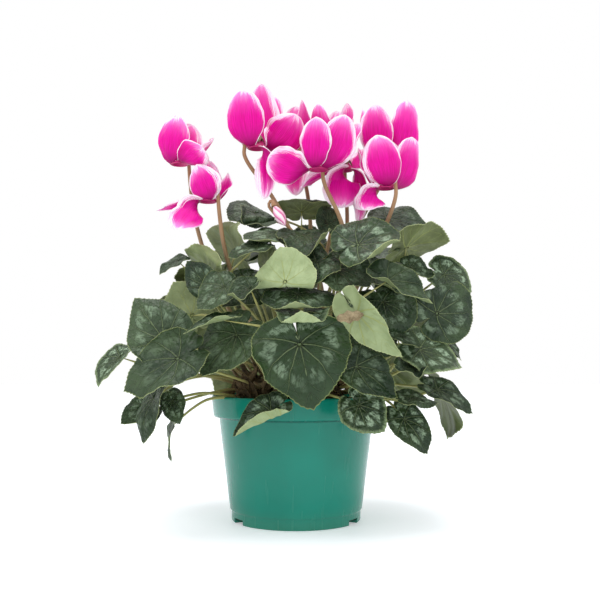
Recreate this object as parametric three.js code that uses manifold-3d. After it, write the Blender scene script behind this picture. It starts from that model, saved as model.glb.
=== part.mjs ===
// Potted cyclamen in a green plastic pot. Millimetres, +Z up, the viewer's side is -Y.
// The origin is the middle of the pot's flat floor.
import * as THREE from "three";
import { mergeVertices } from "three/addons/utils/BufferGeometryUtils.js";
import Module from "manifold-3d";

const wasm = await Module();
wasm.setup();

// Driving dimensions of the pot
const POT_HEIGHT = 110;
const RIM_RADIUS = 76;
const RIM_BAND = 19;
const RIM_DRAFT = 1.8;
const BODY_TOP_RADIUS = 69.2;
const FOOT_RADIUS = 57.6;
const FOOT_STEP = 1.4;
const FOOT_STEP_HEIGHT = 9;
const POT_WALL = 2;
const POT_SIDES = 36;
const SOIL_SIDES = 18;
const NOTCH_WIDTH = 16;
const NOTCH_HEIGHT = 4.5;
const NOTCH_ANGLES = [-60, 60, 180];

// Driving dimensions of the soil and the tuber
const SOIL_LEVEL = 99;
const SOIL_HEAP = 3.6;
const TUBER_RADIUS = 31;
const TUBER_MIDDLE = 84;
const TUBER_SIDES = 16;
const BALL_STEP = 22.5;
const FIT = 0.4;
const FOOT_FIT = 0.2;
const HOLLOW_GAP = 1;

// Driving dimensions of the leaves
const BLADE_THICKNESS = 0.9;
const PETIOLE_RADIUS = 1.45;
const PETIOLE_SIDES = 4;
const PETIOLE_STEPS = 5;
const EDGE_WAVE = 0.045;
const EDGE_WAVES = 5;
const USUAL_ARCH = 20;
const USUAL_CUP = 10;
const BLADE_CLEARANCE = 2.6;
const STEM_CLEARANCE = 0.55;

// Driving dimensions of the flowers
const STEM_RADIUS = 1.9;
const STEM_SIDES = 5;
const MOUTH_RADIUS = 8.2;
const TUBE_HEIGHT = 9;
const TUBE_TOP_RADIUS = 4.4;
const TUBE_WALL = 1.1;
const TUBE_SIDES = 8;
const PETAL_THICKNESS = 0.9;

const heart = new THREE.Vector3(0, 0, 112);
const up = new THREE.Vector3(0, 0, 1);
const group = new THREE.Group();

// Small helpers
const radians = (degrees) => (degrees * Math.PI) / 180;
const vec = (list) => new THREE.Vector3(...list);
const mix = (a, b, share) => a + (b - a) * share;

function seededRandom(seed) {
  let state = seed;
  return () => {
    state = (state * 1664525 + 1013904223) % 4294967296;
    return state / 4294967296;
  };
}

// A mesh's geometry from a list of points and a list of triangles
function closedGeometry(points, triangles) {
  const geometry = new THREE.BufferGeometry();
  const flat = points.flatMap((point) => [point.x, point.y, point.z]);
  geometry.setAttribute("position", new THREE.Float32BufferAttribute(flat, 3));
  geometry.setIndex(triangles.flat());
  return geometry;
}

function toSolid(geometry) {
  const bare = geometry.clone();
  bare.deleteAttribute("normal");
  bare.deleteAttribute("uv");
  const merged = mergeVertices(bare, 1e-4);
  return new wasm.Manifold(new wasm.Mesh({
    numProp: 3,
    vertProperties: new Float32Array(merged.attributes.position.array),
    triVerts: new Uint32Array(merged.index.array),
  }));
}

function toGeometry(solid) {
  const mesh = solid.getMesh();
  const geometry = new THREE.BufferGeometry();
  geometry.setAttribute("position", new THREE.Float32BufferAttribute(mesh.vertProperties, 3));
  geometry.setIndex([...mesh.triVerts]);
  return geometry;
}

function addNode(name, geometry, color, roughness) {
  const material = new THREE.MeshStandardMaterial({ color, roughness, metalness: 0 });
  const mesh = new THREE.Mesh(geometry, material);
  mesh.name = name;
  group.add(mesh);
}

function fuse(geometries) {
  return toGeometry(geometries.map(toSolid).reduce((sum, solid) => sum.add(solid)));
}

// The pot: a lathed shell with a stepped foot and a rim band, and notches cut in the foot's edge
const bandRadius = RIM_RADIUS - RIM_DRAFT;
const bandBottom = POT_HEIGHT - RIM_BAND;
const innerFootRadius = FOOT_RADIUS - POT_WALL;
const innerTopRadius = BODY_TOP_RADIUS - POT_WALL;
const innerBandRadius = innerTopRadius + 4;

function lathe(profile, sides) {
  const points = profile.map(([radius, height]) => new THREE.Vector2(radius, height));
  return new THREE.LatheGeometry(points, sides).rotateX(Math.PI / 2);
}

function makePot() {
  const shell = lathe([
    [0, 0],
    [FOOT_RADIUS - 1, 0],
    [FOOT_RADIUS, 1],
    [FOOT_RADIUS, FOOT_STEP_HEIGHT],
    [FOOT_RADIUS + FOOT_STEP, FOOT_STEP_HEIGHT + 1.5],
    [BODY_TOP_RADIUS, bandBottom],
    [bandRadius - 1.6, bandBottom],
    [bandRadius, bandBottom + 1.8],
    [RIM_RADIUS, POT_HEIGHT - 1],
    [RIM_RADIUS - 1, POT_HEIGHT],
    [RIM_RADIUS - POT_WALL - 0.6, POT_HEIGHT],
    [innerBandRadius, bandBottom + POT_WALL],
    [innerTopRadius, bandBottom - 1],
    [innerFootRadius + 1, POT_WALL + 1],
    [0, POT_WALL],
  ], POT_SIDES);
  let solid = toSolid(shell);
  for (const angle of NOTCH_ANGLES) {
    const block = new THREE.BoxGeometry(NOTCH_WIDTH, 16, NOTCH_HEIGHT * 2);
    block.translate(0, -FOOT_RADIUS, 0);
    block.rotateZ(radians(angle));
    solid = solid.subtract(toSolid(block));
  }
  return toGeometry(solid);
}

// The tuber: a squat ball with its growing crown above the soil
function crownPoint(x, y) {
  const square = Math.max(1, TUBER_RADIUS ** 2 - x * x - y * y);
  return new THREE.Vector3(x, y, TUBER_MIDDLE + Math.sqrt(square));
}

function makeTuber() {
  return lathe(ballProfile(TUBER_RADIUS, 90), TUBER_SIDES);
}

// The profile of a ball about the tuber's middle, from its lowest point up to a given turn
function ballProfile(radius, lastTurn) {
  const profile = [];
  for (let turn = -90; turn <= lastTurn; turn += BALL_STEP) {
    const across = Math.abs(turn) === 90 ? 0 : Math.cos(radians(turn));
    profile.push([radius * across, TUBER_MIDDLE + radius * Math.sin(radians(turn))]);
  }
  return profile;
}

// The soil: fills the pot, with a round hollow for the tuber and a lightly heaped top
function makeSoil() {
  const room = TUBER_RADIUS + HOLLOW_GAP;
  const lipHeight = SOIL_LEVEL + SOIL_HEAP - TUBER_MIDDLE;
  const lipRadius = Math.sqrt(room ** 2 - lipHeight ** 2);
  return lathe([
    [0, POT_WALL + FIT],
    [innerFootRadius + 1 - FIT, POT_WALL + 1 + FIT],
    [innerTopRadius - FIT, bandBottom - 1],
    [innerBandRadius - FIT, bandBottom + POT_WALL + 1],
    [innerBandRadius, SOIL_LEVEL],
    [mix(innerTopRadius, lipRadius, 0.5), SOIL_LEVEL + SOIL_HEAP * 0.7],
    [lipRadius, SOIL_LEVEL + SOIL_HEAP],
    ...ballProfile(room, BALL_STEP).reverse(),
  ], SOIL_SIDES);
}

addNode("pot", makePot(), 0x0f7a66, 0.35);
addNode("soil", makeSoil(), 0x3a2a22, 0.95);
addNode("tuber", makeTuber(), 0x5a3a2c, 0.9);

// Leaves. Each has the point where its stalk meets the blade (joint), the blade's tip, the way its upper
// face looks and, where they differ from the usual, its width (wide), the fall of its tip (arch) and the rise
// of its sides (cup) in degrees. A small blade has fewer edge points. Leaves in one list grow from one spot of
// the crown.
const leafSheaves = [
  { name: "leaves_front_large", leaves: [
    { joint: [3, -107, 154], tip: [14, -103, 103], face: [0, -0.95, 0.3], wide: 1.15, arch: 14, cup: 8 },
    { joint: [5, -98, 177], tip: [5, -121, 163],
      face: [0, -0.6, 0.8], wide: 1.2, arch: 8, cup: 26, small: true },
  ] },
  { name: "leaves_front_turned", leaves: [
    { joint: [2, -93, 195], tip: [0, -115, 178], face: [0, -0.6, 0.8], wide: 1.6, arch: 14, cup: -14 },
    { joint: [-8, -100, 202], tip: [-12, -85, 229], face: [0, 0.85, 0.5], wide: 1.2, arch: -30, cup: 20 },
  ] },
  { name: "leaf_front_rim", leaves: [
    { joint: [-20, -88, 101], tip: [-50, -90, 81], face: [0.1, -0.85, 0.55], wide: 0.65, arch: 8, cup: 12 },
  ] },
  { name: "leaves_front_high", leaves: [
    { joint: [-25, -72, 220], tip: [-29, -56, 237], face: [0, 0.75, 0.65], wide: 1.2, small: true },
    { joint: [-32, -75, 237], tip: [-56, -80, 226], face: [-0.1, -0.5, 0.85], arch: 25, small: true },
  ] },
  { name: "leaves_front_crown", leaves: [
    { joint: [16, -82, 222], tip: [-10, -92, 206], face: [0, -0.6, 0.8], wide: 1.3, small: true },
    { joint: [8, -67, 245], tip: [7, -92, 224], face: [0, -0.55, 0.83], wide: 1.1, small: true },
  ] },
  { name: "leaves_left_cup", leaves: [
    { joint: [-36, -100, 198], tip: [-50, -103, 181],
      face: [-0.5, -0.6, 0.6], arch: 10, cup: 62, small: true },
    { joint: [-58, -86, 201], tip: [-78, -92, 180], face: [-0.3, -0.7, 0.65], wide: 0.95, cup: 16 },
    { joint: [-38, -62, 204], tip: [-56, -72, 172], face: [-0.3, -0.8, 0.5], wide: 0.9, small: true },
  ] },
  { name: "leaf_left_large", leaves: [
    { joint: [-92, -104, 143], tip: [-134, -100, 117], face: [-0.1, -0.75, 0.65], wide: 0.85, cup: 24 },
  ] },
  { name: "leaves_left_broad", leaves: [
    { joint: [-106, -88, 158], tip: [-133, -68, 192],
      face: [-0.4, -0.8, 0.45], wide: 0.85, arch: 24, cup: -8 },
    { joint: [-86, -66, 178], tip: [-104, -50, 207], face: [-0.3, 0.8, 0.5], wide: 1.1 },
  ] },
  { name: "leaves_left_dark", leaves: [
    { joint: [-47, -94, 162], tip: [-73, -100, 127], face: [-0.2, -0.8, 0.55], wide: 0.85 },
    { joint: [-58, -102, 173], tip: [-88, -108, 162], face: [0, -0.15, 1], wide: 0.8, arch: 12, cup: 34 },
  ] },
  { name: "leaf_left_far", leaves: [
    { joint: [-147, -62, 144], tip: [-163, -70, 119],
      face: [-0.5, -0.6, 0.6], wide: 0.75, arch: 30, cup: 40 },
  ] },
  { name: "leaves_left_low", leaves: [
    { joint: [-122, -76, 101], tip: [-144, -80, 90], face: [-0.3, -0.75, 0.6], small: true },
    { joint: [-113, -88, 111], tip: [-115, -92, 77], face: [-0.85, -0.5, 0.1], wide: 0.8, small: true },
  ] },
  { name: "leaves_left_hanging", leaves: [
    { joint: [-100, -80, 109], tip: [-93, -84, 90], face: [-0.3, -0.9, 0.2], wide: 0.8, small: true },
    { joint: [-102, -67, 87], tip: [-102, -70, 58], face: [-0.96, -0.25, 0], wide: 0.7, small: true },
  ] },
  { name: "leaves_left_high", leaves: [
    { joint: [-75, -70, 204], tip: [-91, -62, 224],
      face: [-0.5, -0.7, 0.5], wide: 0.8, cup: 45, small: true },
    { joint: [-102, -42, 227], tip: [-118, -45, 215], face: [-0.5, -0.5, 0.7], small: true },
  ] },
  { name: "leaves_left_back", leaves: [
    { joint: [-72, -54, 214], tip: [-98, -42, 236], face: [-0.3, 0.5, 0.8], wide: 1.1, small: true },
    { joint: [-52, -36, 236], tip: [-82, -18, 254], face: [-0.3, 0.6, 0.7], wide: 1.2, small: true },
  ] },
  { name: "leaves_right_veined", leaves: [
    { joint: [50, -93, 234], tip: [86, -82, 248], face: [0.1, -0.7, 0.7], arch: 16, cup: 12 },
    { joint: [34, -84, 216], tip: [60, -90, 200], face: [0, -0.7, 0.7], wide: 1.2, small: true },
    { joint: [64, -66, 218], tip: [96, -70, 198], face: [0.3, -0.7, 0.6], small: true },
  ] },
  { name: "leaf_right_underside", leaves: [
    { joint: [93, -56, 236], tip: [133, -40, 246], face: [0.2, 0.6, 0.75], wide: 0.9 },
  ] },
  { name: "leaf_right_shoulder", leaves: [
    { joint: [83, -15, 267], tip: [122, -18, 251], face: [0.2, -0.6, 0.8], wide: 1.1, arch: 30 },
  ] },
  { name: "leaves_right_folded", leaves: [
    { joint: [96, -66, 219], tip: [115, -64, 209], face: [0.3, -0.6, 0.7], cup: 40, small: true },
    { joint: [84, -88, 162], tip: [103, -86, 153], face: [0.1, -0.5, 0.85], small: true },
  ] },
  { name: "leaf_right_boat", leaves: [
    { joint: [74, -98, 205], tip: [107, -98, 183], face: [0.1, -0.6, 0.8], wide: 0.75, arch: 16, cup: 65 },
  ] },
  { name: "leaf_right_twisted", leaves: [
    { joint: [48, -114, 178], tip: [81, -113, 143], face: [0.4, 0.8, 0.35], wide: 0.52, arch: -20, cup: -30 },
  ] },
  { name: "leaves_right_inner", leaves: [
    { joint: [71, -82, 189], tip: [88, -88, 161], face: [0.3, -0.8, 0.5], wide: 1.2, small: true },
    { joint: [87, -96, 135], tip: [104, -92, 126], face: [0.1, -0.5, 0.85], cup: 40, small: true },
    { joint: [54, -74, 178], tip: [78, -80, 144], face: [0.2, -0.8, 0.5], small: true },
  ] },
  { name: "leaves_right_round", leaves: [
    { joint: [128, -42, 215], tip: [155, -34, 202], face: [0.6, -0.7, 0.4], wide: 1.1 },
    { joint: [129, -40, 155], tip: [142, -42, 141], face: [0.6, -0.5, 0.6], small: true },
  ] },
  { name: "leaf_right_grey", leaves: [
    { joint: [117, -66, 180], tip: [149, -49, 199], face: [0.5, -0.75, 0.4], wide: 1.05, cup: -8 },
  ] },
  { name: "leaves_right_heart", leaves: [
    { joint: [101, -80, 150], tip: [139, -74, 137], face: [0.2, -0.75, 0.6], wide: 0.85 },
    { joint: [92, -86, 110], tip: [115, -80, 106], face: [0, -0.3, 0.95], cup: 14, small: true },
  ] },
  { name: "leaves_right_pointed", leaves: [
    { joint: [118, -62, 117], tip: [147, -60, 97], face: [0.3, -0.6, 0.7], wide: 0.65, arch: 30, cup: 20 },
    { joint: [88, -76, 94], tip: [107, -80, 67], face: [0.3, -0.85, 0.4], wide: 0.75 },
  ] },
  { name: "leaves_right_rim", leaves: [
    { joint: [48, -101, 137], tip: [78, -101, 111], face: [0.1, -0.7, 0.7], wide: 0.85, cup: 16 },
    { joint: [50, -93, 106], tip: [70, -91, 85], face: [0.1, -0.9, 0.4], wide: 1.05 },
  ] },
  { name: "leaves_top_left", leaves: [
    { joint: [-37, -25, 272], tip: [-58, -40, 263], face: [-0.1, -0.7, 0.7], wide: 1.3, small: true },
    { joint: [-28, -28, 264], tip: [-60, -32, 260], face: [0, -0.3, 1], small: true },
  ] },
  { name: "leaves_top_middle", leaves: [
    { joint: [5, -20, 274], tip: [5, -47, 281], face: [0, 0.5, 0.85], wide: 1.4, small: true },
    { joint: [28, -36, 261], tip: [26, -30, 279], face: [0.3, -0.9, 0.2], wide: 0.9, small: true },
  ] },
  { name: "leaf_top_front", leaves: [
    { joint: [-14, -60, 246], tip: [-42, -70, 238], face: [-0.1, -0.4, 0.9], wide: 1.2, small: true },
  ] },
];

// The leaves of the back half, which shingle a dome by a rule: turns of the golden angle, with a seeded draw
const BACK_PAIRS = 8;
const BACK_SEED = 3;
const BACK_FLARE = 0.22;
const BACK_DEPTH = 0.92;
const BACK_BASE = 120;
const BACK_RISE = 142;
const BACK_START = -4;
const BACK_SPAN = 188;
const BACK_TURN = 0.618 * BACK_SPAN;

function addBackLeaves() {
  const draw = seededRandom(BACK_SEED);
  const count = BACK_PAIRS * 2;
  const backLeaves = [];
  for (let i = 0; i < count; i += 1) {
    const share = (i + 0.5) / count;
    const turn = radians(BACK_START + ((i * BACK_TURN + draw() * 8) % BACK_SPAN));
    const climb = radians(mix(-4, 68, share) + (draw() - 0.5) * 8);
    const level = Math.cos(climb);
    const outward = new THREE.Vector3(Math.cos(turn) * level, Math.sin(turn) * level, Math.sin(climb));
    const spread = mix(118, 128, draw());
    const joint = new THREE.Vector3(
      outward.x * spread,
      outward.y * spread * BACK_DEPTH,
      BACK_BASE + outward.z * BACK_RISE,
    );
    const downhill = up.clone().multiplyScalar(-1).addScaledVector(outward, outward.z);
    const around = new THREE.Vector3().crossVectors(up, outward).setLength((draw() - 0.5) * 0.9);
    const nose = downhill.setLength(0.8).addScaledVector(outward, BACK_FLARE).add(around).normalize();
    const length = mix(46, 57, draw());
    const face = outward.clone().addScaledVector(up, 0.5);
    backLeaves.push({
      joint: joint.toArray(),
      tip: joint.clone().addScaledVector(nose, length).toArray(),
      face: face.toArray(),
      wide: mix(1.35, 1.55, draw()),
      arch: mix(10, 34, draw()),
      cup: mix(-12, 26, draw()),
      small: true,
    });
  }
  backLeaves.sort((a, b) => Math.atan2(a.joint[1], a.joint[0]) - Math.atan2(b.joint[1], b.joint[0]));
  for (let pair = 0; pair < BACK_PAIRS; pair += 1) {
    leafSheaves.push({ name: `leaves_back_${pair + 1}`, leaves: backLeaves.slice(pair * 2, pair * 2 + 2) });
  }
}

addBackLeaves();

// The outline of a blade, seen flat: how far the edge is from the joint, each 15 degrees from the tip round
// to the notch behind the joint, as a share of the leaf's length
const EDGE_REACH = [1, 0.92, 0.87, 0.79, 0.755, 0.69, 0.67, 0.62, 0.61, 0.56, 0.53, 0.44, 0.2];
const EDGE_STEP = 15;
const RING_REACH = 0.56;
const LARGE_RING = 10;
const SMALL_RING = 8;
const WAVE_SHIFT = 2.1;
const LOBE_BEND = 0.3;
const CUP_SPAN = 0.8;

function edgeReach(degrees) {
  const turned = Math.min(degrees, 360 - degrees) / EDGE_STEP;
  const step = Math.min(Math.floor(turned), EDGE_REACH.length - 2);
  return mix(EDGE_REACH[step], EDGE_REACH[step + 1], turned - step);
}

// The triangles of one face of a blade: a fan round the joint, then a belt out to the edge
function bladeTriangles(ring) {
  const list = [];
  for (let i = 0; i < ring; i += 1) {
    const next = (i + 1) % ring;
    const inner = 1 + i;
    const innerNext = 1 + next;
    const outer = 1 + ring + 2 * i;
    const outerNext = 1 + ring + 2 * next;
    list.push([0, innerNext, inner]);
    list.push([inner, outer + 1, outer]);
    list.push([inner, innerNext, outer + 1]);
    list.push([innerNext, outerNext, outer + 1]);
  }
  return list;
}

// A blade as a bent sheet of points: the joint, a ring, and the edge
function bendBlade(row, index) {
  const ring = row.small ? SMALL_RING : LARGE_RING;
  const arch = radians(row.arch ?? USUAL_ARCH);
  const cup = radians(row.cup ?? USUAL_CUP);
  const wide = row.wide ?? 1;
  const joint = vec(row.joint);
  const chord = vec(row.tip).sub(joint);
  const half = arch / 2 || 1e-6;
  const length = (chord.length() * half) / Math.sin(half);
  const straight = chord.clone().normalize();
  const side = new THREE.Vector3().crossVectors(straight, vec(row.face)).normalize();
  const level = new THREE.Vector3().crossVectors(side, straight);
  const nose = straight.clone().multiplyScalar(Math.cos(half)).addScaledVector(level, Math.sin(half));
  const face = level.multiplyScalar(Math.cos(half)).addScaledVector(straight, -Math.sin(half));
  const acrossBend = (cup || 1e-6) / (CUP_SPAN * length * wide);
  const alongBend = (arch || 1e-6) / length;
  const place = (degrees, reach) => {
    const angle = radians(degrees);
    const radius = edgeReach(degrees) * reach * length;
    const along = radius * Math.cos(angle);
    const across = radius * Math.sin(angle) * wide;
    const ripple = EDGE_WAVE * length * reach * reach * Math.sin(EDGE_WAVES * angle + index * WAVE_SHIFT);
    const rise = (1 - Math.cos(acrossBend * across)) / acrossBend + ripple;
    const bend = along > 0 ? alongBend : alongBend * LOBE_BEND;
    const drop = (1 - Math.cos(bend * along)) / bend;
    const forward = Math.sin(bend * along) / bend + rise * Math.sin(bend * along);
    return joint.clone()
      .addScaledVector(side, Math.sin(acrossBend * across) / acrossBend)
      .addScaledVector(nose, forward)
      .addScaledVector(face, rise * Math.cos(bend * along) - drop);
  };
  const points = [joint.clone()];
  for (let i = 0; i < ring; i += 1) {
    points.push(place((360 / ring) * i, RING_REACH));
  }
  for (let i = 0; i < 2 * ring; i += 1) {
    points.push(place((180 / ring) * i, 1));
  }
  return { row, ring, points, triangles: bladeTriangles(ring) };
}

// The pot as what the blades and stalks keep clear of
function potRadiusAt(height) {
  if (height > bandBottom - 1) {
    return RIM_RADIUS;
  }
  return mix(FOOT_RADIUS + FOOT_STEP, BODY_TOP_RADIUS, Math.max(0, height) / bandBottom);
}

function keepOffPot(point, room) {
  const plan = Math.hypot(point.x, point.y);
  const wall = potRadiusAt(point.z) + room;
  const top = POT_HEIGHT + room;
  if (point.z > top || plan > wall) {
    return;
  }
  if (top - point.z < wall - plan) {
    point.z = top;
    return;
  }
  point.x *= wall / plan;
  point.y *= wall / plan;
}

// Where a ray from the heart meets a triangle: the distance, or null
function rayDistance(direction, a, b, c) {
  const edge1x = b.x - a.x;
  const edge1y = b.y - a.y;
  const edge1z = b.z - a.z;
  const edge2x = c.x - a.x;
  const edge2y = c.y - a.y;
  const edge2z = c.z - a.z;
  const px = direction.y * edge2z - direction.z * edge2y;
  const py = direction.z * edge2x - direction.x * edge2z;
  const pz = direction.x * edge2y - direction.y * edge2x;
  const det = edge1x * px + edge1y * py + edge1z * pz;
  if (Math.abs(det) < 1e-9) {
    return null;
  }
  const tx = heart.x - a.x;
  const ty = heart.y - a.y;
  const tz = heart.z - a.z;
  const u = (tx * px + ty * py + tz * pz) / det;
  if (u < -0.02 || u > 1.02) {
    return null;
  }
  const qx = ty * edge1z - tz * edge1y;
  const qy = tz * edge1x - tx * edge1z;
  const qz = tx * edge1y - ty * edge1x;
  const v = (direction.x * qx + direction.y * qy + direction.z * qz) / det;
  if (v < -0.02 || u + v > 1.02) {
    return null;
  }
  const distance = (edge2x * qx + edge2y * qy + edge2z * qz) / det;
  return distance > 0 ? distance : null;
}

// The samples of a blade that are held clear of its neighbours: its points, and its triangles' middles
function bladeSamples(blade) {
  const samples = blade.points.map((point, index) => ({ point, ends: [index] }));
  for (const triangle of blade.triangles) {
    const middle = new THREE.Vector3();
    for (const index of triangle) {
      middle.addScaledVector(blade.points[index], 1 / 3);
    }
    samples.push({ point: middle, ends: triangle });
  }
  return samples.map(({ point, ends }) => {
    const ray = point.clone().sub(heart);
    const distance = ray.length();
    return { ends, distance, direction: ray.divideScalar(distance) };
  });
}

function bladeCone(blade) {
  const middle = new THREE.Vector3();
  for (const point of blade.points) {
    middle.add(point.clone().sub(heart).normalize());
  }
  middle.normalize();
  let widest = 0;
  for (const point of blade.points) {
    widest = Math.max(widest, middle.angleTo(point.clone().sub(heart)));
  }
  return { middle, widest };
}

// The gaps of one blade's samples over or under another blade, seen from the heart
function gapsOver(samples, other, visit) {
  const reach = other.cone.widest + 0.02;
  for (const sample of samples) {
    if (sample.direction.angleTo(other.cone.middle) > reach) {
      continue;
    }
    for (const triangle of other.triangles) {
      const [a, b, c] = triangle.map((index) => other.points[index]);
      const distance = rayDistance(sample.direction, a, b, c);
      if (distance !== null) {
        visit(sample, triangle, sample.distance - distance);
      }
    }
  }
}

function meetingBlades(blades) {
  for (const blade of blades) {
    blade.cone = bladeCone(blade);
    blade.samples = bladeSamples(blade);
  }
  const pairs = [];
  for (let i = 0; i < blades.length; i += 1) {
    for (let j = i + 1; j < blades.length; j += 1) {
      const apart = blades[i].cone.middle.angleTo(blades[j].cone.middle);
      if (apart < blades[i].cone.widest + blades[j].cone.widest) {
        pairs.push([blades[i], blades[j]]);
      }
    }
  }
  return pairs;
}

// Which blade of each pair lies further out, by the mean of their gaps where they overlap
function orderBlades(blades) {
  const order = new Map();
  for (const [one, two] of meetingBlades(blades)) {
    let sum = 0;
    let count = 0;
    gapsOver(one.samples, two, (sample, triangle, gap) => {
      sum += gap;
      count += 1;
    });
    gapsOver(two.samples, one, (sample, triangle, gap) => {
      sum -= gap;
      count += 1;
    });
    order.set(`${blades.indexOf(one)} ${blades.indexOf(two)}`, count === 0 ? 0 : Math.sign(sum));
  }
  return order;
}

// Moves overlapping blades apart along the rays from the heart, softly at first and then point by point
const BLADE_SWEEPS = 40;
const SOFT_SHARE = 0.7;

function clearBlades(blades) {
  const order = orderBlades(blades);
  for (let sweep = 0; sweep < BLADE_SWEEPS; sweep += 1) {
    const soft = sweep < BLADE_SWEEPS * SOFT_SHARE;
    const pushes = new Map(blades.map((blade) => [blade, blade.points.map(() => 0)]));
    const push = (blade, ends, amount) => {
      const list = pushes.get(blade);
      for (const index of ends) {
        if (Math.abs(amount) > Math.abs(list[index])) {
          list[index] = amount;
        }
      }
    };
    for (const [one, two] of meetingBlades(blades)) {
      const key = `${blades.indexOf(one)} ${blades.indexOf(two)}`;
      const outer = order.get(key) || 1;
      gapsOver(one.samples, two, (sample, triangle, gap) => {
        const lack = BLADE_CLEARANCE - gap * outer;
        if (lack > 0) {
          push(one, sample.ends, (lack * outer) / 2);
          push(two, triangle, (-lack * outer) / 2);
        }
      });
      gapsOver(two.samples, one, (sample, triangle, gap) => {
        const lack = BLADE_CLEARANCE + gap * outer;
        if (lack > 0) {
          push(two, sample.ends, (-lack * outer) / 2);
          push(one, triangle, (lack * outer) / 2);
        }
      });
    }
    for (const blade of blades) {
      const own = pushes.get(blade);
      const amounts = soft ? spreadAmounts(blade, own) : own;
      blade.points.forEach((point, index) => {
        const direction = point.clone().sub(heart).normalize();
        point.addScaledVector(direction, amounts[index]);
        keepOffPot(point, BLADE_CLEARANCE);
      });
    }
  }
}

// Spreads the pushes of a few points over their neighbours, so that the blade bends softly
function spreadAmounts(blade, amounts) {
  let current = amounts;
  for (let round = 0; round < 2; round += 1) {
    const sums = current.map(() => 0);
    const counts = current.map(() => 0);
    for (const [a, b, c] of blade.triangles) {
      const mean = (current[a] + current[b] + current[c]) / 3;
      for (const index of [a, b, c]) {
        sums[index] += mean;
        counts[index] += 1;
      }
    }
    current = current.map((amount, index) => mix(amount, sums[index] / counts[index], 0.6));
  }
  return current;
}

const blades = [];
for (const sheaf of leafSheaves) {
  for (const row of sheaf.leaves) {
    const blade = bendBlade(row, blades.length);
    blade.sheaf = sheaf;
    blades.push(blade);
  }
}
clearBlades(blades);

// The way that each point of a blade's sheet faces
function sheetNormals(points, triangles) {
  const normals = points.map(() => new THREE.Vector3());
  for (const [a, b, c] of triangles) {
    const across = new THREE.Vector3().subVectors(points[b], points[a]);
    const along = new THREE.Vector3().subVectors(points[c], points[a]);
    across.cross(along);
    for (const index of [a, b, c]) {
      normals[index].add(across);
    }
  }
  return normals.map((normal) => normal.normalize());
}

// Flowers. Each has the middle of its mouth, which opens downwards, and its five petals' tips, seen from
// there, in order round the mouth; a petal that turns has the way its outer face looks in the end. The stem
// passes up between the last petal and the first.
const flowers = [
  { name: "left_upper", mouth: [-102, -40, 312], petals: [
    { tip: [6, 26, 44], width: 26 },
    { tip: [-6, 14, 49], width: 26 },
    { tip: [0, -10, 41], width: 26, face: [-0.3, -1, 0.1] },
    { tip: [24, -24, 8], width: 26, face: [0.2, -1, -0.4] },
    { tip: [30, 0, 24], width: 26 },
  ] },
  { name: "left_lower", mouth: [-76, -50, 277], petals: [
    { tip: [16, 12, 28], width: 20 },
    { tip: [-6, 20, 42], width: 24 },
    { tip: [-45, 8, -6], width: 10 },
    { tip: [-23, -22, -27], width: 28, face: [-0.2, -1, 0.3] },
    { tip: [-9, -8, 31], width: 26, face: [-0.2, -1, 0] },
  ] },
  { name: "left_tall", mouth: [-34, -48, 324], petals: [
    { tip: [-11, -17, 47], width: 30, face: [-0.3, -1, 0] },
    { tip: [7, -10, -46], width: 16, face: [0.3, -1, 0] },
    { tip: [34, -9, 28], width: 32, face: [0.3, -1, 0.2] },
    { tip: [3, 24, 66], width: 28 },
    { tip: [-22, 8, 40], width: 24 },
  ] },
  { name: "back_left", mouth: [-6, -4, 327], petals: [
    { tip: [11, 8, 57], width: 24 },
    { tip: [6, 24, 56], width: 26 },
    { tip: [-14, 22, 51], width: 25 },
    { tip: [-13, -8, 55], width: 24 },
    { tip: [6, -15, -38], width: 22 },
  ] },
  { name: "front_middle", mouth: [19, -62, 302], petals: [
    { tip: [1, 27, 52], width: 28 },
    { tip: [-42, -8, 10], width: 31, face: [-0.1, -1, 0.1] },
    { tip: [-2, -18, 41], width: 26, face: [-0.5, -1, 0] },
    { tip: [22, -17, 43], width: 30, face: [0.3, -1, 0] },
    { tip: [35, 8, 43], width: 30 },
  ] },
  { name: "back_middle", mouth: [34, 12, 334], petals: [
    { tip: [14, 8, 52], width: 26 },
    { tip: [6, 26, 50], width: 27 },
    { tip: [-16, 20, 48], width: 25 },
    { tip: [-14, -9, 46], width: 26 },
    { tip: [8, -20, 28], width: 24 },
  ] },
  { name: "back_right", mouth: [82, -4, 322], petals: [
    { tip: [20, -5, 58], width: 28, face: [0.4, -1, 0] },
    { tip: [20, 28, 52], width: 26 },
    { tip: [0, 28, 58], width: 25 },
    { tip: [-20, 8, 54], width: 24 },
    { tip: [-11, -14, 51], width: 28, face: [-0.3, -1, 0] },
  ] },
  { name: "front_right", mouth: [77, -48, 289], petals: [
    { tip: [24, 2, 46], width: 27, face: [0.6, -1, 0] },
    { tip: [7, 24, 48], width: 26 },
    { tip: [-23, 4, 37], width: 26 },
    { tip: [-18, -12, -21], width: 25, face: [-0.4, -1, 0.2] },
    { tip: [-9, -19, 42], width: 31, face: [0.1, -1, 0] },
  ] },
  { name: "middle_nodding", mouth: [43, -26, 310], petals: [
    { tip: [-16, 9, 23], width: 18 },
    { tip: [-38, -10, -18], width: 20 },
    { tip: [-4, -18, -37], width: 30, face: [0, -1, -0.1] },
    { tip: [12, -8, -50], width: 14, face: [0.3, -1, 0] },
    { tip: [18, 9, 22], width: 18 },
  ] },
];

const PETAL_STATIONS = [
  { along: 0, share: 0.27 },
  { along: 0.2, share: 0.56 },
  { along: 0.52, share: 1 },
  { along: 0.84, share: 0.84 },
  { along: 1, share: 0.26 },
];
const PETAL_TWIST = 16;
const PETAL_TURN_PACE = 2.2;
const PETAL_HOLLOW = 0.13;
const PETAL_BULGE = 0.16;
const PETAL_LEAD = 0.42;
const PETAL_ROOT_HEIGHT = 0.9;
const PETAL_DIP_HANGING = 5;
const PETAL_DIP_UPRIGHT = 1;

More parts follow.
